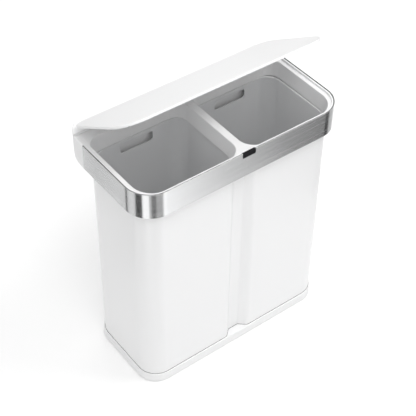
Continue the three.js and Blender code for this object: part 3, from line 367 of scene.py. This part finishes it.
def joined(*parts):
    verts, faces = [], []
    for part_verts, part_faces in parts:
        start = len(verts)
        verts += part_verts
        faces += [tuple(i + start for i in face) for face in part_faces]
    return verts, faces


def plate(z, *loops):
    """A flat face at height z inside the first loop, with the other, convex loops as holes."""
    points, edges, owner = [], [], []
    for index, loop in enumerate(loops):
        start, count = len(points), len(loop)
        points += [Vector(point[:2]) for point in loop]
        edges += [(start + i, start + (i + 1) % count) for i in range(count)]
        owner += [index] * count
    inside = 1
    verts, _, faces, sources = delaunay_2d_cdt(points, edges, [], inside, 1e-6)[:4]
    loop_of = [owner[source[0]] for source in sources]
    kept = [tuple(face) for face in faces
            if len({loop_of[i] for i in face}) > 1 or loop_of[face[0]] == 0]
    return [(x, y, z) for x, y in verts], kept


def block(x0, x1, y0, y1, z0, z1, edge=0.0):
    """An upright block with its upright edges rounded by edge."""
    points = outline(rectangle(x0, x1, y0, y1, (edge,) * 4), 0.0, 4 if edge else 1)
    return tube([at(points, z0), at(points, z1)])


def upright(x, y, r, z0, z1, seg=40, edge=0.0):
    """An upright round bar, with its end edges cut back by edge."""
    def ring(radius, z):
        return [(x + radius * math.cos(a), y + radius * math.sin(a), z)
                for a in (2 * math.pi * k / seg for k in range(seg))]
    if edge:
        return tube([ring(r - edge, z0), ring(r, z0 + edge), ring(r, z1 - edge), ring(r - edge, z1)])
    return tube([ring(r, z0), ring(r, z1)])


# ------------------------------------------------------------------ objects
def raw(name, shape):
    """An object in metres from a shape in millimetres."""
    verts, faces = shape
    mesh = bpy.data.meshes.new(name)
    mesh.from_pydata([(x * MM, y * MM, z * MM) for x, y, z in verts], [], faces)
    mesh.validate()
    tidy = bmesh.new()
    tidy.from_mesh(mesh)
    bmesh.ops.remove_doubles(tidy, verts=tidy.verts, dist=1e-6)
    bmesh.ops.recalc_face_normals(tidy, faces=tidy.faces)
    tidy.to_mesh(mesh)
    tidy.free()
    obj = bpy.data.objects.new(name, mesh)
    bpy.context.collection.objects.link(obj)
    return obj


def combine(obj, other, operation):
    """Apply a boolean with another object, which it uses up."""
    step = obj.modifiers.new("combine", "BOOLEAN")
    step.operation = operation
    step.solver = "EXACT"
    step.object = other
    bpy.context.view_layer.update()
    depsgraph = bpy.context.evaluated_depsgraph_get()
    mesh = bpy.data.meshes.new_from_object(obj.evaluated_get(depsgraph))
    obj.modifiers.clear()
    obj.data = mesh
    bpy.data.objects.remove(other)


def cut(obj, *tools):
    for tool in tools:
        combine(obj, raw("tool", tool), "DIFFERENCE")


def finish(obj, material, body, nodes, sharp=38.0):
    """Shade a piece, tie it to its body, and hide the nodes it stands for."""
    obj.data.materials.clear()
    obj.data.materials.append(material)
    for face in obj.data.polygons:
        face.use_smooth = True
        face.material_index = 0
    obj.data.set_sharp_from_angle(angle=math.radians(sharp))
    step = obj.modifiers.new("even shading", "WEIGHTED_NORMAL")
    step.keep_sharp = True
    step.weight = 50
    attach(obj, body)
    if nodes:
        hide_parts(*nodes)


def piece(name, shape, material, body, nodes, sharp=38.0):
    finish(raw(name, shape), material, body, nodes, sharp)


# ------------------------------------------------------------------ base
def base():
    """A tray turned upside down, with crossing ribs and sockets for the feet underneath."""
    path = [*lower_edge(0.8, -BASE_REACH, BASE_BOTTOM, 3), *upper_edge(2.5, -BASE_REACH, BASE_TOP, 5),
            (12.0, BASE_TOP), (12.0, BASE_SKIN), (-0.8, BASE_SKIN), (-0.8, BASE_BOTTOM)]
    parts = [tube(stack(PLAIN, path), closed=True),
             tube(stack(PLAIN, ((11.9, BASE_SKIN + 0.1), (11.9, BASE_TOP - 0.1))))]
    high = BASE_SKIN + 0.3
    start, span, bays = RIBS_ALONG
    for i in range(1, bays):
        x = start + i * span / bays
        parts.append(block(x - RIB_HALF, x + RIB_HALF, -150.0, 96.0, RIB_FOOT, high))
    start, span, bays = RIBS_ACROSS
    for i in range(1, bays):
        y = start + i * span / bays
        parts.append(block(-270.5, 270.5, y - RIB_HALF, y + RIB_HALF, RIB_FOOT, high))
    for x in (-FOOT_X, FOOT_X):
        for y in (FOOT_FRONT, FOOT_REAR):
            parts.append(upright(x, y, BOSS_RADIUS, BOSS_FOOT, high))
    piece("base_moulding", joined(*parts), WHITE, "bin", ["base_tray"])


def feet():
    """The four rubber feet."""
    for side, x in (("left", -FOOT_X), ("right", FOOT_X)):
        for end, y in (("front", FOOT_FRONT), ("rear", FOOT_REAR)):
            pad = upright(x, y, FOOT_RADIUS, 0.0, FOOT_HEIGHT, edge=0.6)
            piece(f"foot_{end}_{side}", pad, RUBBER, "bin", [f"foot_pad_{end}_{side}"])


# ------------------------------------------------------------------ body
def body():
    """The painted sheet, with the channel in its front."""
    heights = (BODY_BOTTOM, 300.0, BODY_TOP)
    path = [*((0.0, z) for z in heights), *((SHEET, z) for z in reversed(heights))]
    piece("painted_body", tube(stack(CHANNELLED, path, 18), closed=True), PAINT, "bin",
          ["body_shell"], 50.0)


def base_seam_shadow():
    """A thin dark grey strip in the seam between the body and the base: painted shadow, standing in
    for the shade of the seam.
    """
    low, high, top = BASE_TOP + 0.05, BASE_TOP + 0.5, BASE_TOP + 0.7
    path = ((-0.02, low), (-0.6, low), (-0.6, high), (-0.4, top), (-0.02, top))
    piece("grey_base_seam_shadow", tube(stack(CHANNELLED, path, 18), closed=True), RUBBER, "bin", [])


# ------------------------------------------------------------------ band
def band():
    """The steel band, with eased edges and the notch for the sensor window."""
    section = [(0.25, BAND_BOTTOM), (0.0, BAND_BOTTOM + 0.25), (0.0, BAND_TOP - 0.3),
               (0.3, BAND_TOP), (SHEET - 0.3, BAND_TOP), (SHEET, BAND_TOP - 0.3),
               (SHEET, BAND_BOTTOM + 0.25), (SHEET - 0.25, BAND_BOTTOM)]
    rings = [band_run(inset, z, BAND_END, 26) for inset, z in section]
    count = len(rings[0])
    verts = [p for ring in rings for p in ring]
    faces = []
    for level in range(len(rings)):
        low, high = level * count, ((level + 1) % len(rings)) * count
        for i in range(count - 1):
            faces.append((low + i, low + i + 1, high + i + 1, high + i))
    faces.append(tuple(level * count for level in range(len(rings))))
    faces.append(tuple(level * count + count - 1 for level in reversed(range(len(rings)))))
    obj = raw("brushed_band", (verts, faces))
    cut(obj, block(-NOTCH_HALF, NOTCH_HALF, FRONT - 2, FRONT + 4, NOTCH_LOW, 650.0))
    finish(obj, STEEL, "bin", ["steel_band"], 50.0)


# ------------------------------------------------------------------ top frame
def mouth(share):
    """Corners of the right mouth, from its rim (0) to the foot of its funnel (1)."""
    return rectangle(9.5 + share * 4.5, 265.5 - share * 3.5, MOUTH_FRONT + share * 13.0,
                     MOUTH_BACK - share * 5.0, (40.0, 55.0 - 7.0 * share, 32.0, 32.0))


def funnel_ring(side, inset, z):
    """A ring of the funnel at height z, moved in by inset, for the right or the left mouth."""
    corners = mouth((RIM_TOP - z) / (RIM_TOP - FUNNEL_BOTTOM))
    if side < 0:
        corners = mirrored(corners)
    return at(outline(corners, inset, 16), z)


def funnel(side):
    """The funnel of one mouth, from its rolled rim down inside and up again outside."""
    path = [(-inset, RIM_TOP - drop) for inset, drop in reversed(rounded(MOUTH_ROLL, 5))]
    path += [(0.0, z) for z in (625.0, 612.0, 600.0, FUNNEL_BOTTOM + 0.4)]
    path += [(-0.4, FUNNEL_BOTTOM), (0.4 - FUNNEL_WALL, FUNNEL_BOTTOM),
             (-FUNNEL_WALL, FUNNEL_BOTTOM + 0.4), (-FUNNEL_WALL, RIM_UNDER)]
    rings = [funnel_ring(side, inset, z) for inset, z in path]
    return tube(rings, cap_first=False, cap_last=False)


def frame_border():
    """Plan of the frame's level plate, with the slots for the lid's arms in its rear edge."""
    front = front_run(outline(BAND, FRAME_INSET, 24), FRAME_STEP)
    side = [(x, y) for x, y in outline(HOUSING, REAR_INSET, 24)
            if x > 0 and FRAME_STEP < y < FRAME_BACK]
    reach = side[-1][0]
    border = [(front[0][0], FRAME_STEP), *front, (front[-1][0], FRAME_STEP),
              (HALF_REAR, FRAME_STEP), *side, (reach, FRAME_BACK)]
    for x in (ARM_X, -ARM_X):
        right, left = x + ARM_SLOT / 2, x - ARM_SLOT / 2
        border += [(right, FRAME_BACK), (right, SLOT_END), (left, SLOT_END), (left, FRAME_BACK)]
    border += [(-reach, FRAME_BACK), *((-x, y) for x, y in reversed(side)), (-HALF_REAR, FRAME_STEP)]
    return border


def flange():
    """The flange under the skirt, from the band in to the body and its channel."""
    outer = front_run(outline(BAND, FRAME_INSET + 1.0, 24), 66.0)
    inner = front_run(outline(CHANNELLED, -0.3, 14), 66.0)
    edge = [(outer[0][0], FLANGE_END), *outer, (outer[-1][0], FLANGE_END),
            (HALF_BODY + 0.3, FLANGE_END), *reversed(inner), (-HALF_BODY - 0.3, FLANGE_END)]
    sides = tube([at(edge, FLANGE_LOW), at(edge, FLANGE_HIGH)], cap_first=False, cap_last=False)
    return joined(plate(FLANGE_LOW, edge), plate(FLANGE_HIGH, edge), sides)


def open_arm_slot(obj, x):
    """Run the slot for one arm on through the mouth's rear wall, and close the cut faces."""
    low, nearest = RIM_UNDER - 2.4, MOUTH_BACK - 1
    x0, x1 = x - ARM_SLOT / 2, x + ARM_SLOT / 2
    reach = ((x0 - 1, x1 + 1), (nearest, SLOT_END + 0.1), (low - 1, 640.0))

    def touches(face):
        """Whether the face's box reaches into the box round the slot."""
        return all(max(v.co[i] for v in face.verts) / MM > least
                   and min(v.co[i] for v in face.verts) / MM < most
                   for i, (least, most) in enumerate(reach))
    shape = bmesh.new()
    shape.from_mesh(obj.data)
    for point, normal in (((x0, 0, 0), (1, 0, 0)), ((x1, 0, 0), (1, 0, 0)), ((0, 0, low), (0, 0, 1))):
        near = [face for face in shape.faces if touches(face)]
        parts = {part for face in near for part in (*face.verts, *face.edges)}
        bmesh.ops.bisect_plane(shape, geom=[*parts, *near], plane_co=Vector(point) * MM,
                               plane_no=normal)
    gone = []
    for face in shape.faces:
        centre = face.calc_center_median() / MM
        if x0 < centre.x < x1 and nearest < centre.y < SLOT_END + 0.05 and centre.z > low + 0.01:
            gone.append(face)
    bmesh.ops.delete(shape, geom=gone, context="FACES")
    back = MOUTH_BACK + FUNNEL_WALL
    side = [(MOUTH_BACK, low),
            *((MOUTH_BACK + inset, RIM_TOP - drop) for inset, drop in rounded(MOUTH_ROLL, 5)),
            (SLOT_END, RIM_TOP), (SLOT_END, RIM_UNDER), (back, RIM_UNDER), (back, low)]
    closing = [[(edge, y, z) for y, z in side] for edge in (x0, x1)]
    closing.append([(x0, MOUTH_BACK, low), (x1, MOUTH_BACK, low), (x1, back, low), (x0, back, low)])
    for points in closing:
        shape.faces.new([shape.verts.new(Vector(point) * MM) for point in points])
    shape.to_mesh(obj.data)
    shape.free()


def top_frame():
    """The level plate and its mouths, the skirt and lip along the band, the flange, the rear wall."""
    border = frame_border()
    parts = [plate(RIM_TOP, border, *(funnel_ring(side, -MOUTH_ROLL, RIM_TOP) for side in (1, -1))),
             plate(RIM_UNDER, border,
                   *(funnel_ring(side, -FUNNEL_WALL, RIM_UNDER) for side in (1, -1))),
             tube([at(border, RIM_TOP), at(border, RIM_UNDER)], cap_first=False, cap_last=False),
             funnel(1), funnel(-1)]
    skirt = ((0.0, RIM_UNDER), (0.0, SKIRT_FOOT + 0.5), (0.5, SKIRT_FOOT), (2.5, SKIRT_FOOT),
             (2.5, RIM_UNDER))
    lip = ((1.7, RIM_TOP - 0.5), (1.7, 641.0), (1.9, 641.5), (2.4, 641.7),
           (4.9, 641.7), (5.4, 641.5), (5.6, 641.0), (5.6, RIM_TOP - 0.5))
    for path in (skirt, lip):
        parts.append(sheet([band_run(FRAME_INSET + inset, z) for inset, z in path]))
    parts.append(flange())
    parts.append(block(*REAR_WALL))
    obj = raw("frame_moulding", joined(*parts))
    for side in (1, -1):
        open_arm_slot(obj, side * ARM_X)
    finish(obj, WHITE, "bin", ["top_frame"])


def band_gap_shadow():
    """Dark strip in the seam between the steel band and the frame: painted shadow, standing in for
    the shade of the gap there.
    """
    path = ((1.0, 640.6), (1.0, 641.9), (1.2, 642.1), (2.6, 642.1), (2.8, 641.9), (2.8, 640.6))
    piece("band_gap_shadow", sheet([band_run(inset, z) for inset, z in path]), BLACK, "bin", [])


# ------------------------------------------------------------------ buckets
def bucket(name, node, side):
    """A moulded bucket with a turned-out rim, draft in its walls and a grip hole at each end."""
    corners = BUCKET if side > 0 else mirrored(BUCKET)

    def wall(z, extra=0.0):
        """How far the wall stands in from the rim at height z."""
        share = (BUCKET_LIP - z) / (BUCKET_LIP - BUCKET_BOTTOM)
        return BUCKET_INSET + BUCKET_DRAFT * share + extra
    heights = (150.0, 300.0, 450.0, 560.0)
    inner = wall(BUCKET_BOTTOM, BUCKET_WALL)
    path = lower_edge(3.0, wall(BUCKET_BOTTOM), BUCKET_BOTTOM, 4)
    path += [(wall(z), z) for z in (*heights, BUCKET_LIP)]
    path += [(0.0, BUCKET_LIP), *upper_edge(1.0, 0.0, BUCKET_TOP, 3)]
    path += [(5.2 - inset, BUCKET_TOP - drop) for inset, drop in reversed(rounded(1.5, 3))]
    path += [(wall(z, BUCKET_WALL), z) for z in reversed(heights)]
    path += [(inner + inset, BUCKET_FLOOR + drop) for inset, drop in rounded(6.0, 4)]
    path.append((inner + 20.0, BUCKET_FLOOR))
    obj = raw(name, tube(stack(corners, path)))
    middle = side * BUCKET_MIDDLE
    grip = outline(rectangle(middle - GRIP_HALF, middle + GRIP_HALF, GRIP_LOW, GRIP_HIGH,
                             (GRIP_CORNER,) * 4), 0.0, 6)
    for y0, y1 in ((-146.0, -125.0), (66.0, 88.0)):
        cut(obj, tube([facing(grip, y0), facing(grip, y1)]))
    finish(obj, GREY, "bin", [node])


# ------------------------------------------------------------------ rear housing and battery door
def underside(inset):
    """A bar across, whose lower rear edge is the housing's curved underside, moved in by inset."""
    rise, reach = UNDER_RISE - inset, UNDER_REACH - inset
    centre_y, centre_z = BACK - UNDER_REACH, UNDER_LOW + UNDER_RISE
    points = [(-500.0, UNDER_LOW + inset)]
    for k in range(49):
        a = -math.pi / 2 + math.pi / 2 * k / 48
        points.append((centre_y + reach * math.cos(a), centre_z + rise * math.sin(a)))
    points += [(BACK - inset, 700.0), (-500.0, 700.0)]
    return tube([[(x, y, z) for y, z in points] for x in (-400.0, 400.0)])


def housing_block(name, inset, front, roll):
    """The housing's outer form as a solid behind y = front, moved in by inset."""
    path = [(inset, 540.0), *upper_edge(roll, inset, BAND_TOP - inset, 5)]
    obj = raw(name, tube(stack(HOUSING, path, 24)))
    combine(obj, raw("tool", underside(inset)), "INTERSECT")
    cut(obj, block(-400, 400, -700, front, 500, 700))
    return obj


def housing_shell(name):
    """The housing's outer form, hollow and open at the front."""
    obj = housing_block(name, 0.0, HOUSING_FRONT, HOUSING_ROLL)
    combine(obj, housing_block("tool", HOUSING_WALL, 60.0, 1.0), "DIFFERENCE")
    return obj


def housing():
    """The rear housing, with a pocket for the controls and a lip behind the frame."""
    pocket_walls = block(-175.0, -125.0, 135.0, 170.0, 600.0, 632.5)
    pocket_room = block(-172.5, -127.5, 137.5, 172.0, 602.5, 630.0, 2.0)
    switch_hole = block(-167.3, -146.7, 130.0, 140.0, 610.2, 622.3)
    inlet_hole = block(-141.8, -132.2, 130.0, 140.0, 611.4, 621.1)
    lip_block = block(-290.0, 290.0, 110.3, 112.8, 633.3, 641.0)
    frame_room = block(-278.7, 278.7, 60.0, 110.3, 631.5, 650.0)
    body_room = tube(stack(PLAIN, ((-0.3, 500.0), (-0.3, 641.5))))
    obj = housing_shell("housing_moulding")
    for inset, roll, limits in ((0.05, HOUSING_ROLL, pocket_walls), (1.5, 1.0, lip_block)):
        inner = housing_block("tool", inset, HOUSING_FRONT, roll)
        combine(inner, raw("tool", limits), "INTERSECT")
        combine(obj, inner, "UNION")
    cut(obj, frame_room, body_room, block(*DOOR, DOOR_CORNER), pocket_room, switch_hole, inlet_hole)
    for x in (ARM_X, -ARM_X):
        cut(obj, block(x - ARM_SLOT / 2, x + ARM_SLOT / 2, 108.0, SLOT_BACK, 630.0, 650.0, 2.0))
    for x in (-SCREW_X, SCREW_X):
        cut(obj, upright(x, SCREW_Y, SCREW_ROOM, 560.0, 583.0, 24))
    finish(obj, WHITE, "bin", ["rear_housing"], 30.0)


def door():
    """The battery door, cut from the housing's form, with a row of grip lines."""
    x0, x1, y0, y1, z0, z1 = DOOR
    trim = block(x0 + DOOR_GAP, x1 - DOOR_GAP, y0 + DOOR_GAP, y1, z0, z1 - DOOR_GAP, DOOR_CORNER)
    obj = housing_shell("door_moulding")
    combine(obj, raw("tool", trim), "INTERSECT")
    for i in range(GRIP_LINES):
        y, half = LINE_FIRST + i * LINE_PITCH, LINE_LENGTH / 2
        cut(obj, block(-half, half, y - 0.5, y + 0.5, 560.0, 597.0 + (y - 140.0) * 0.9))
    finish(obj, WHITE, "door", ["battery_door"], 30.0)


# ------------------------------------------------------------------ lid
def opened(shape):
    """A shape that was made with the lid shut, turned to where the lid rests."""
    turn = Matrix.Rotation(-OPENING, 4, "X")
    verts, faces = shape
    return [tuple(HINGE + turn @ (Vector(p) - HINGE)) for p in verts], faces


def lid():
    """The lid's shell, and the panel under it."""
    path = [*lower_edge(0.8, 0.0, LID_UNDER, 3), *upper_edge(1.6, 0.0, LID_TOP, 5),
            *((inset, LID_TOP) for inset in (8.0, 40.0, 90.0))]
    outside = tube(stack(LID, path, 24), cap_first=False)
    path = ((0.8, LID_UNDER), (2.2, LID_UNDER), (2.5, LID_UNDER + 0.4), (2.5, LID_SKIN))
    rim = tube(stack(LID, path, 24), cap_first=False)
    piece("lid_shell", opened(joined(outside, rim)), LID_WHITE, "lid", ["lid_panel"])
    path = [*lower_edge(0.5, 2.8, LID_UNDER, 2), (2.8, LINER_TOP)]
    piece("lid_underside", opened(tube(stack(LID, path, 24))), WHITE, "lid", ["lid_liner"])


# ------------------------------------------------------------------ sensor window and controls
def sensor():
    """The dark window in the band's notch."""
    corners = rectangle(-SENSOR_HALF, SENSOR_HALF, SENSOR_LOW, SENSOR_HIGH, (1.6,) * 4)
    rings = [facing(outline(corners, inset, 5), FRONT + drop)
             for inset, drop in reversed(rounded(0.7, 3))]
    rings.append(facing(outline(corners, 0.0, 5), -158.0))
    piece("dark_window", tube(rings), WINDOW, "bin", ["sensor_window"])


def controls():
    """The power switch's body, with the hole that its rocker sits in."""
    plate_edge = rectangle(-168.0, -146.0, 608.25, 624.25, (1.5,) * 4)
    hole = rectangle(-163.8, -150.2, 611.9, 620.6, (0.6,) * 4)
    stem = rectangle(-166.0, -148.0, 610.25, 622.25, (0.4,) * 4)
    face = [facing(outline(corners, inset, 4), y) for corners, inset, y in (
        (plate_edge, 0.0, 137.8), (plate_edge, 0.0, 139.3), (plate_edge, 0.5, 139.8),
        (hole, -0.3, 139.8), (hole, 0.0, 139.5), (hole, 0.0, 132.0))]
    back = [facing(outline(stem, 0.0, 4), y) for y in (124.8, 138.0)]
    piece("switch_surround", joined(tube(face, cap_first=False), tube(back)), BLACK, "bin",
          ["power_switch"])


base()
feet()
body()
# painted shadow: a dark grey strip round the foot of the body, in its seam with the base
base_seam_shadow()
band()
top_frame()
# painted shadow: a dark strip in the seam just inside the band's top edge
band_gap_shadow()
bucket("moulded_left_bucket", "left_bucket", -1)
bucket("moulded_right_bucket", "right_bucket", 1)
housing()
door()
lid()
sensor()
controls()


# ------------------------------------------------------------------ solids that keep their shape
def dress(material, *names):
    for name in names:
        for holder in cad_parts[name].material_slots:
            holder.link = "OBJECT"
            holder.material = material


dress(ZINC, "hinge_bracket_left", "hinge_bracket_right", "hinge_pin_left", "hinge_pin_right",
      "bracket_screw_right_lower", "bracket_screw_right_upper", "bracket_screw_left_lower",
      "bracket_screw_left_upper", "housing_screw_right", "housing_screw_left",
      "arm_screw_right_1", "arm_screw_right_2", "arm_screw_left_1", "arm_screw_left_2",
      "drive_motor", "motor_pinion")
dress(ACETAL, "idler_gear", "drive_gear")
dress(BLACK, "battery_tray", "power_inlet", "switch_rocker")
dress(CELL, *(f"battery_cell_{i}" for i in range(1, 7)))
dress(BOARD, "control_board", "sensor_board")
dress(WHITE, "hinge_arm_left", "hinge_arm_right")
dress(RUBBER, "lid_bumper_left", "lid_bumper_right")


# ------------------------------------------------------------------ floor, lights and surroundings
def stage_material(name):
    material = bpy.data.materials.new(name)
    material.use_nodes = True
    tree = material.node_tree
    tree.nodes.clear()
    return material, tree, tree.nodes.new("ShaderNodeOutputMaterial")


def mixed(tree, factor, first, second, target):
    mix = tree.nodes.new("ShaderNodeMixShader")
    for socket, source in zip(mix.inputs, (factor, first, second)):
        tree.links.new(source, socket)
    tree.links.new(mix.outputs[0], target)


def shown_rays(tree):
    """1 for the rays that show the background: the camera's, and those mirrored or let through."""
    rays = tree.nodes.new("ShaderNodeLightPath")
    total = rays.outputs["Is Camera Ray"]
    for name in ("Is Glossy Ray", "Is Transmission Ray"):
        most = tree.nodes.new("ShaderNodeMath")
        most.operation = "MAXIMUM"
        tree.links.new(total, most.inputs[0])
        tree.links.new(rays.outputs[name], most.inputs[1])
        total = most.outputs[0]
    return total


FLOOR_HALF, FLOOR_WHITE = 12, (0.88, 0.88, 0.88, 1.0)
# the floor's glow for shown rays, added to the light that it gets, and its distances in metres
GLOW = (("From Min", 0.5), ("From Max", 4.0), ("To Min", 0.155), ("To Max", 0.27))


def floor():
    mesh = bpy.data.meshes.new("floor")
    half = FLOOR_HALF
    mesh.from_pydata([(-half, -half, 0), (half, -half, 0), (half, half, 0), (-half, half, 0)], [],
                     [(0, 1, 2, 3)])
    obj = bpy.data.objects.new("floor", mesh)
    bpy.context.collection.objects.link(obj)
    material, tree, out = stage_material("floor")
    plain = tree.nodes.new("ShaderNodeBsdfDiffuse")
    plain.inputs["Color"].default_value = FLOOR_WHITE
    place = tree.nodes.new("ShaderNodeTexCoord")
    away = tree.nodes.new("ShaderNodeVectorMath")
    away.operation = "LENGTH"
    tree.links.new(place.outputs["Object"], away.inputs[0])
    level = tree.nodes.new("ShaderNodeMapRange")
    for name, value in GLOW:
        level.inputs[name].default_value = value
    tree.links.new(away.outputs["Value"], level.inputs["Value"])
    glow = tree.nodes.new("ShaderNodeEmission")
    tree.links.new(level.outputs["Result"], glow.inputs["Strength"])
    seen = tree.nodes.new("ShaderNodeAddShader")
    tree.links.new(plain.outputs[0], seen.inputs[0])
    tree.links.new(glow.outputs[0], seen.inputs[1])
    mixed(tree, shown_rays(tree), plain.outputs[0], seen.outputs[0], out.inputs[0])
    mesh.materials.append(material)


# Floor cards: (place on the band in metres, its (direction in degrees, how light the card is)).
CARDS = (
    ((-0.283, 0.14), ((122, 0.05),)),
    ((-0.283, -0.09), ((122, 1.1),)),
    ((-0.218, -0.0975), (
        (127, 1.1), (131, 0.06), (140, 0.06), (144, 0.8), (176, 0.8), (180, 0.0), (203, 0.0),
        (207, 1.3), (229, 1.3), (232, 0.5), (238, 0.5), (241, 0.1), (255, 0.1), (258, 0.42),
        (281, 0.42), (285, 1.3), (300, 1.3))),
    ((-0.218, -0.1625), ((305, 1.1),)),
    ((0.0, -0.1625), ((305, 0.6),)),
    ((0.218, -0.1625), ((305, 0.29),)),
    ((0.218, -0.0975), ((314, 0.24), (318, 0.03), (335, 0.03), (339, 0.6), (370, 0.6))),
)
CARD_NEAR, CARD_FAR, CARD_LIFT = 0.46, 1.2, 0.002
RING_RADIUS, RING_HEIGHT, RING_STEPS, RING_WAVES = 1.7, 1.4, 36, 6
RING_SHADE, RING_SWING = 0.45, 0.35


def cards():
    """Studio cards round the object, on the floor and standing, seen in reflections only."""
    verts, shades = [], []
    for (x, y), stops in CARDS:
        for angle, shade in stops:
            across, along = math.cos(math.radians(angle)), math.sin(math.radians(angle))
            verts += [(x + across * reach, y + along * reach, CARD_LIFT)
                      for reach in (CARD_NEAR, CARD_FAR)]
            shades += [shade, shade]
    faces = [(i, i + 1, i + 3, i + 2) for i in range(0, len(verts) - 2, 2)]
    first = len(verts)
    for k in range(RING_STEPS + 1):
        turn = 2 * math.pi * k / RING_STEPS
        x, y = RING_RADIUS * math.cos(turn), RING_RADIUS * math.sin(turn)
        verts += [(x, y, 0.0), (x, y, RING_HEIGHT)]
        shades += [RING_SHADE + RING_SWING * math.cos(RING_WAVES * turn)] * 2
    faces += [(i, i + 1, i + 3, i + 2) for i in range(first, first + 2 * RING_STEPS, 2)]
    mesh = bpy.data.meshes.new("cards")
    mesh.from_pydata(verts, [], faces)
    mesh.attributes.new("shade", "FLOAT", "POINT").data.foreach_set("value", shades)
    obj = bpy.data.objects.new("cards", mesh)
    bpy.context.collection.objects.link(obj)
    material, tree, out = stage_material("cards")
    shade = tree.nodes.new("ShaderNodeAttribute")
    shade.attribute_name = "shade"
    glow = tree.nodes.new("ShaderNodeEmission")
    tree.links.new(shade.outputs["Fac"], glow.inputs["Strength"])
    tree.links.new(glow.outputs[0], out.inputs[0])
    mesh.materials.append(material)
    obj.visible_camera = obj.visible_diffuse = obj.visible_shadow = False
    obj.visible_transmission = False


def area_light(name, place, target, size, power):
    """A square lamp at a place in metres, turned to a target."""
    data = bpy.data.lights.new(name, "AREA")
    data.shape = "RECTANGLE"
    data.size = data.size_y = size
    data.energy = power
    obj = bpy.data.objects.new(name, data)
    bpy.context.collection.objects.link(obj)
    obj.location = place
    obj.rotation_euler = (Vector(target) - Vector(place)).to_track_quat("-Z", "Y").to_euler()


WORLD_LIGHT, WORLD_SHOWN = 0.7, 1.0


def surroundings():
    """An even white world, at full white for the rays that show it."""
    world = bpy.data.worlds.new("studio")
    bpy.context.scene.world = world
    world.use_nodes = True
    tree = world.node_tree
    tree.nodes.clear()
    out = tree.nodes.new("ShaderNodeOutputWorld")
    skies = []
    for strength in (WORLD_LIGHT, WORLD_SHOWN):
        sky = tree.nodes.new("ShaderNodeBackground")
        sky.inputs["Color"].default_value = (1.0, 1.0, 1.0, 1.0)
        sky.inputs["Strength"].default_value = strength
        skies.append(sky.outputs[0])
    mixed(tree, shown_rays(tree), skies[0], skies[1], out.inputs[0])


floor()
cards()
surroundings()
area_light("key", (1.3, -1.0, 3.4), (0.0, 0.0, 0.4), 1.2, 26.0)
area_light("front", (-0.7, -1.7, 3.4), (0.0, 0.0, 0.4), 1.4, 31.0)
area_light("top", (1.0, 1.3, 2.6), (0.1, 0.0, 0.6), 1.4, 8.0)
bpy.context.scene.view_settings.view_transform = "Standard"
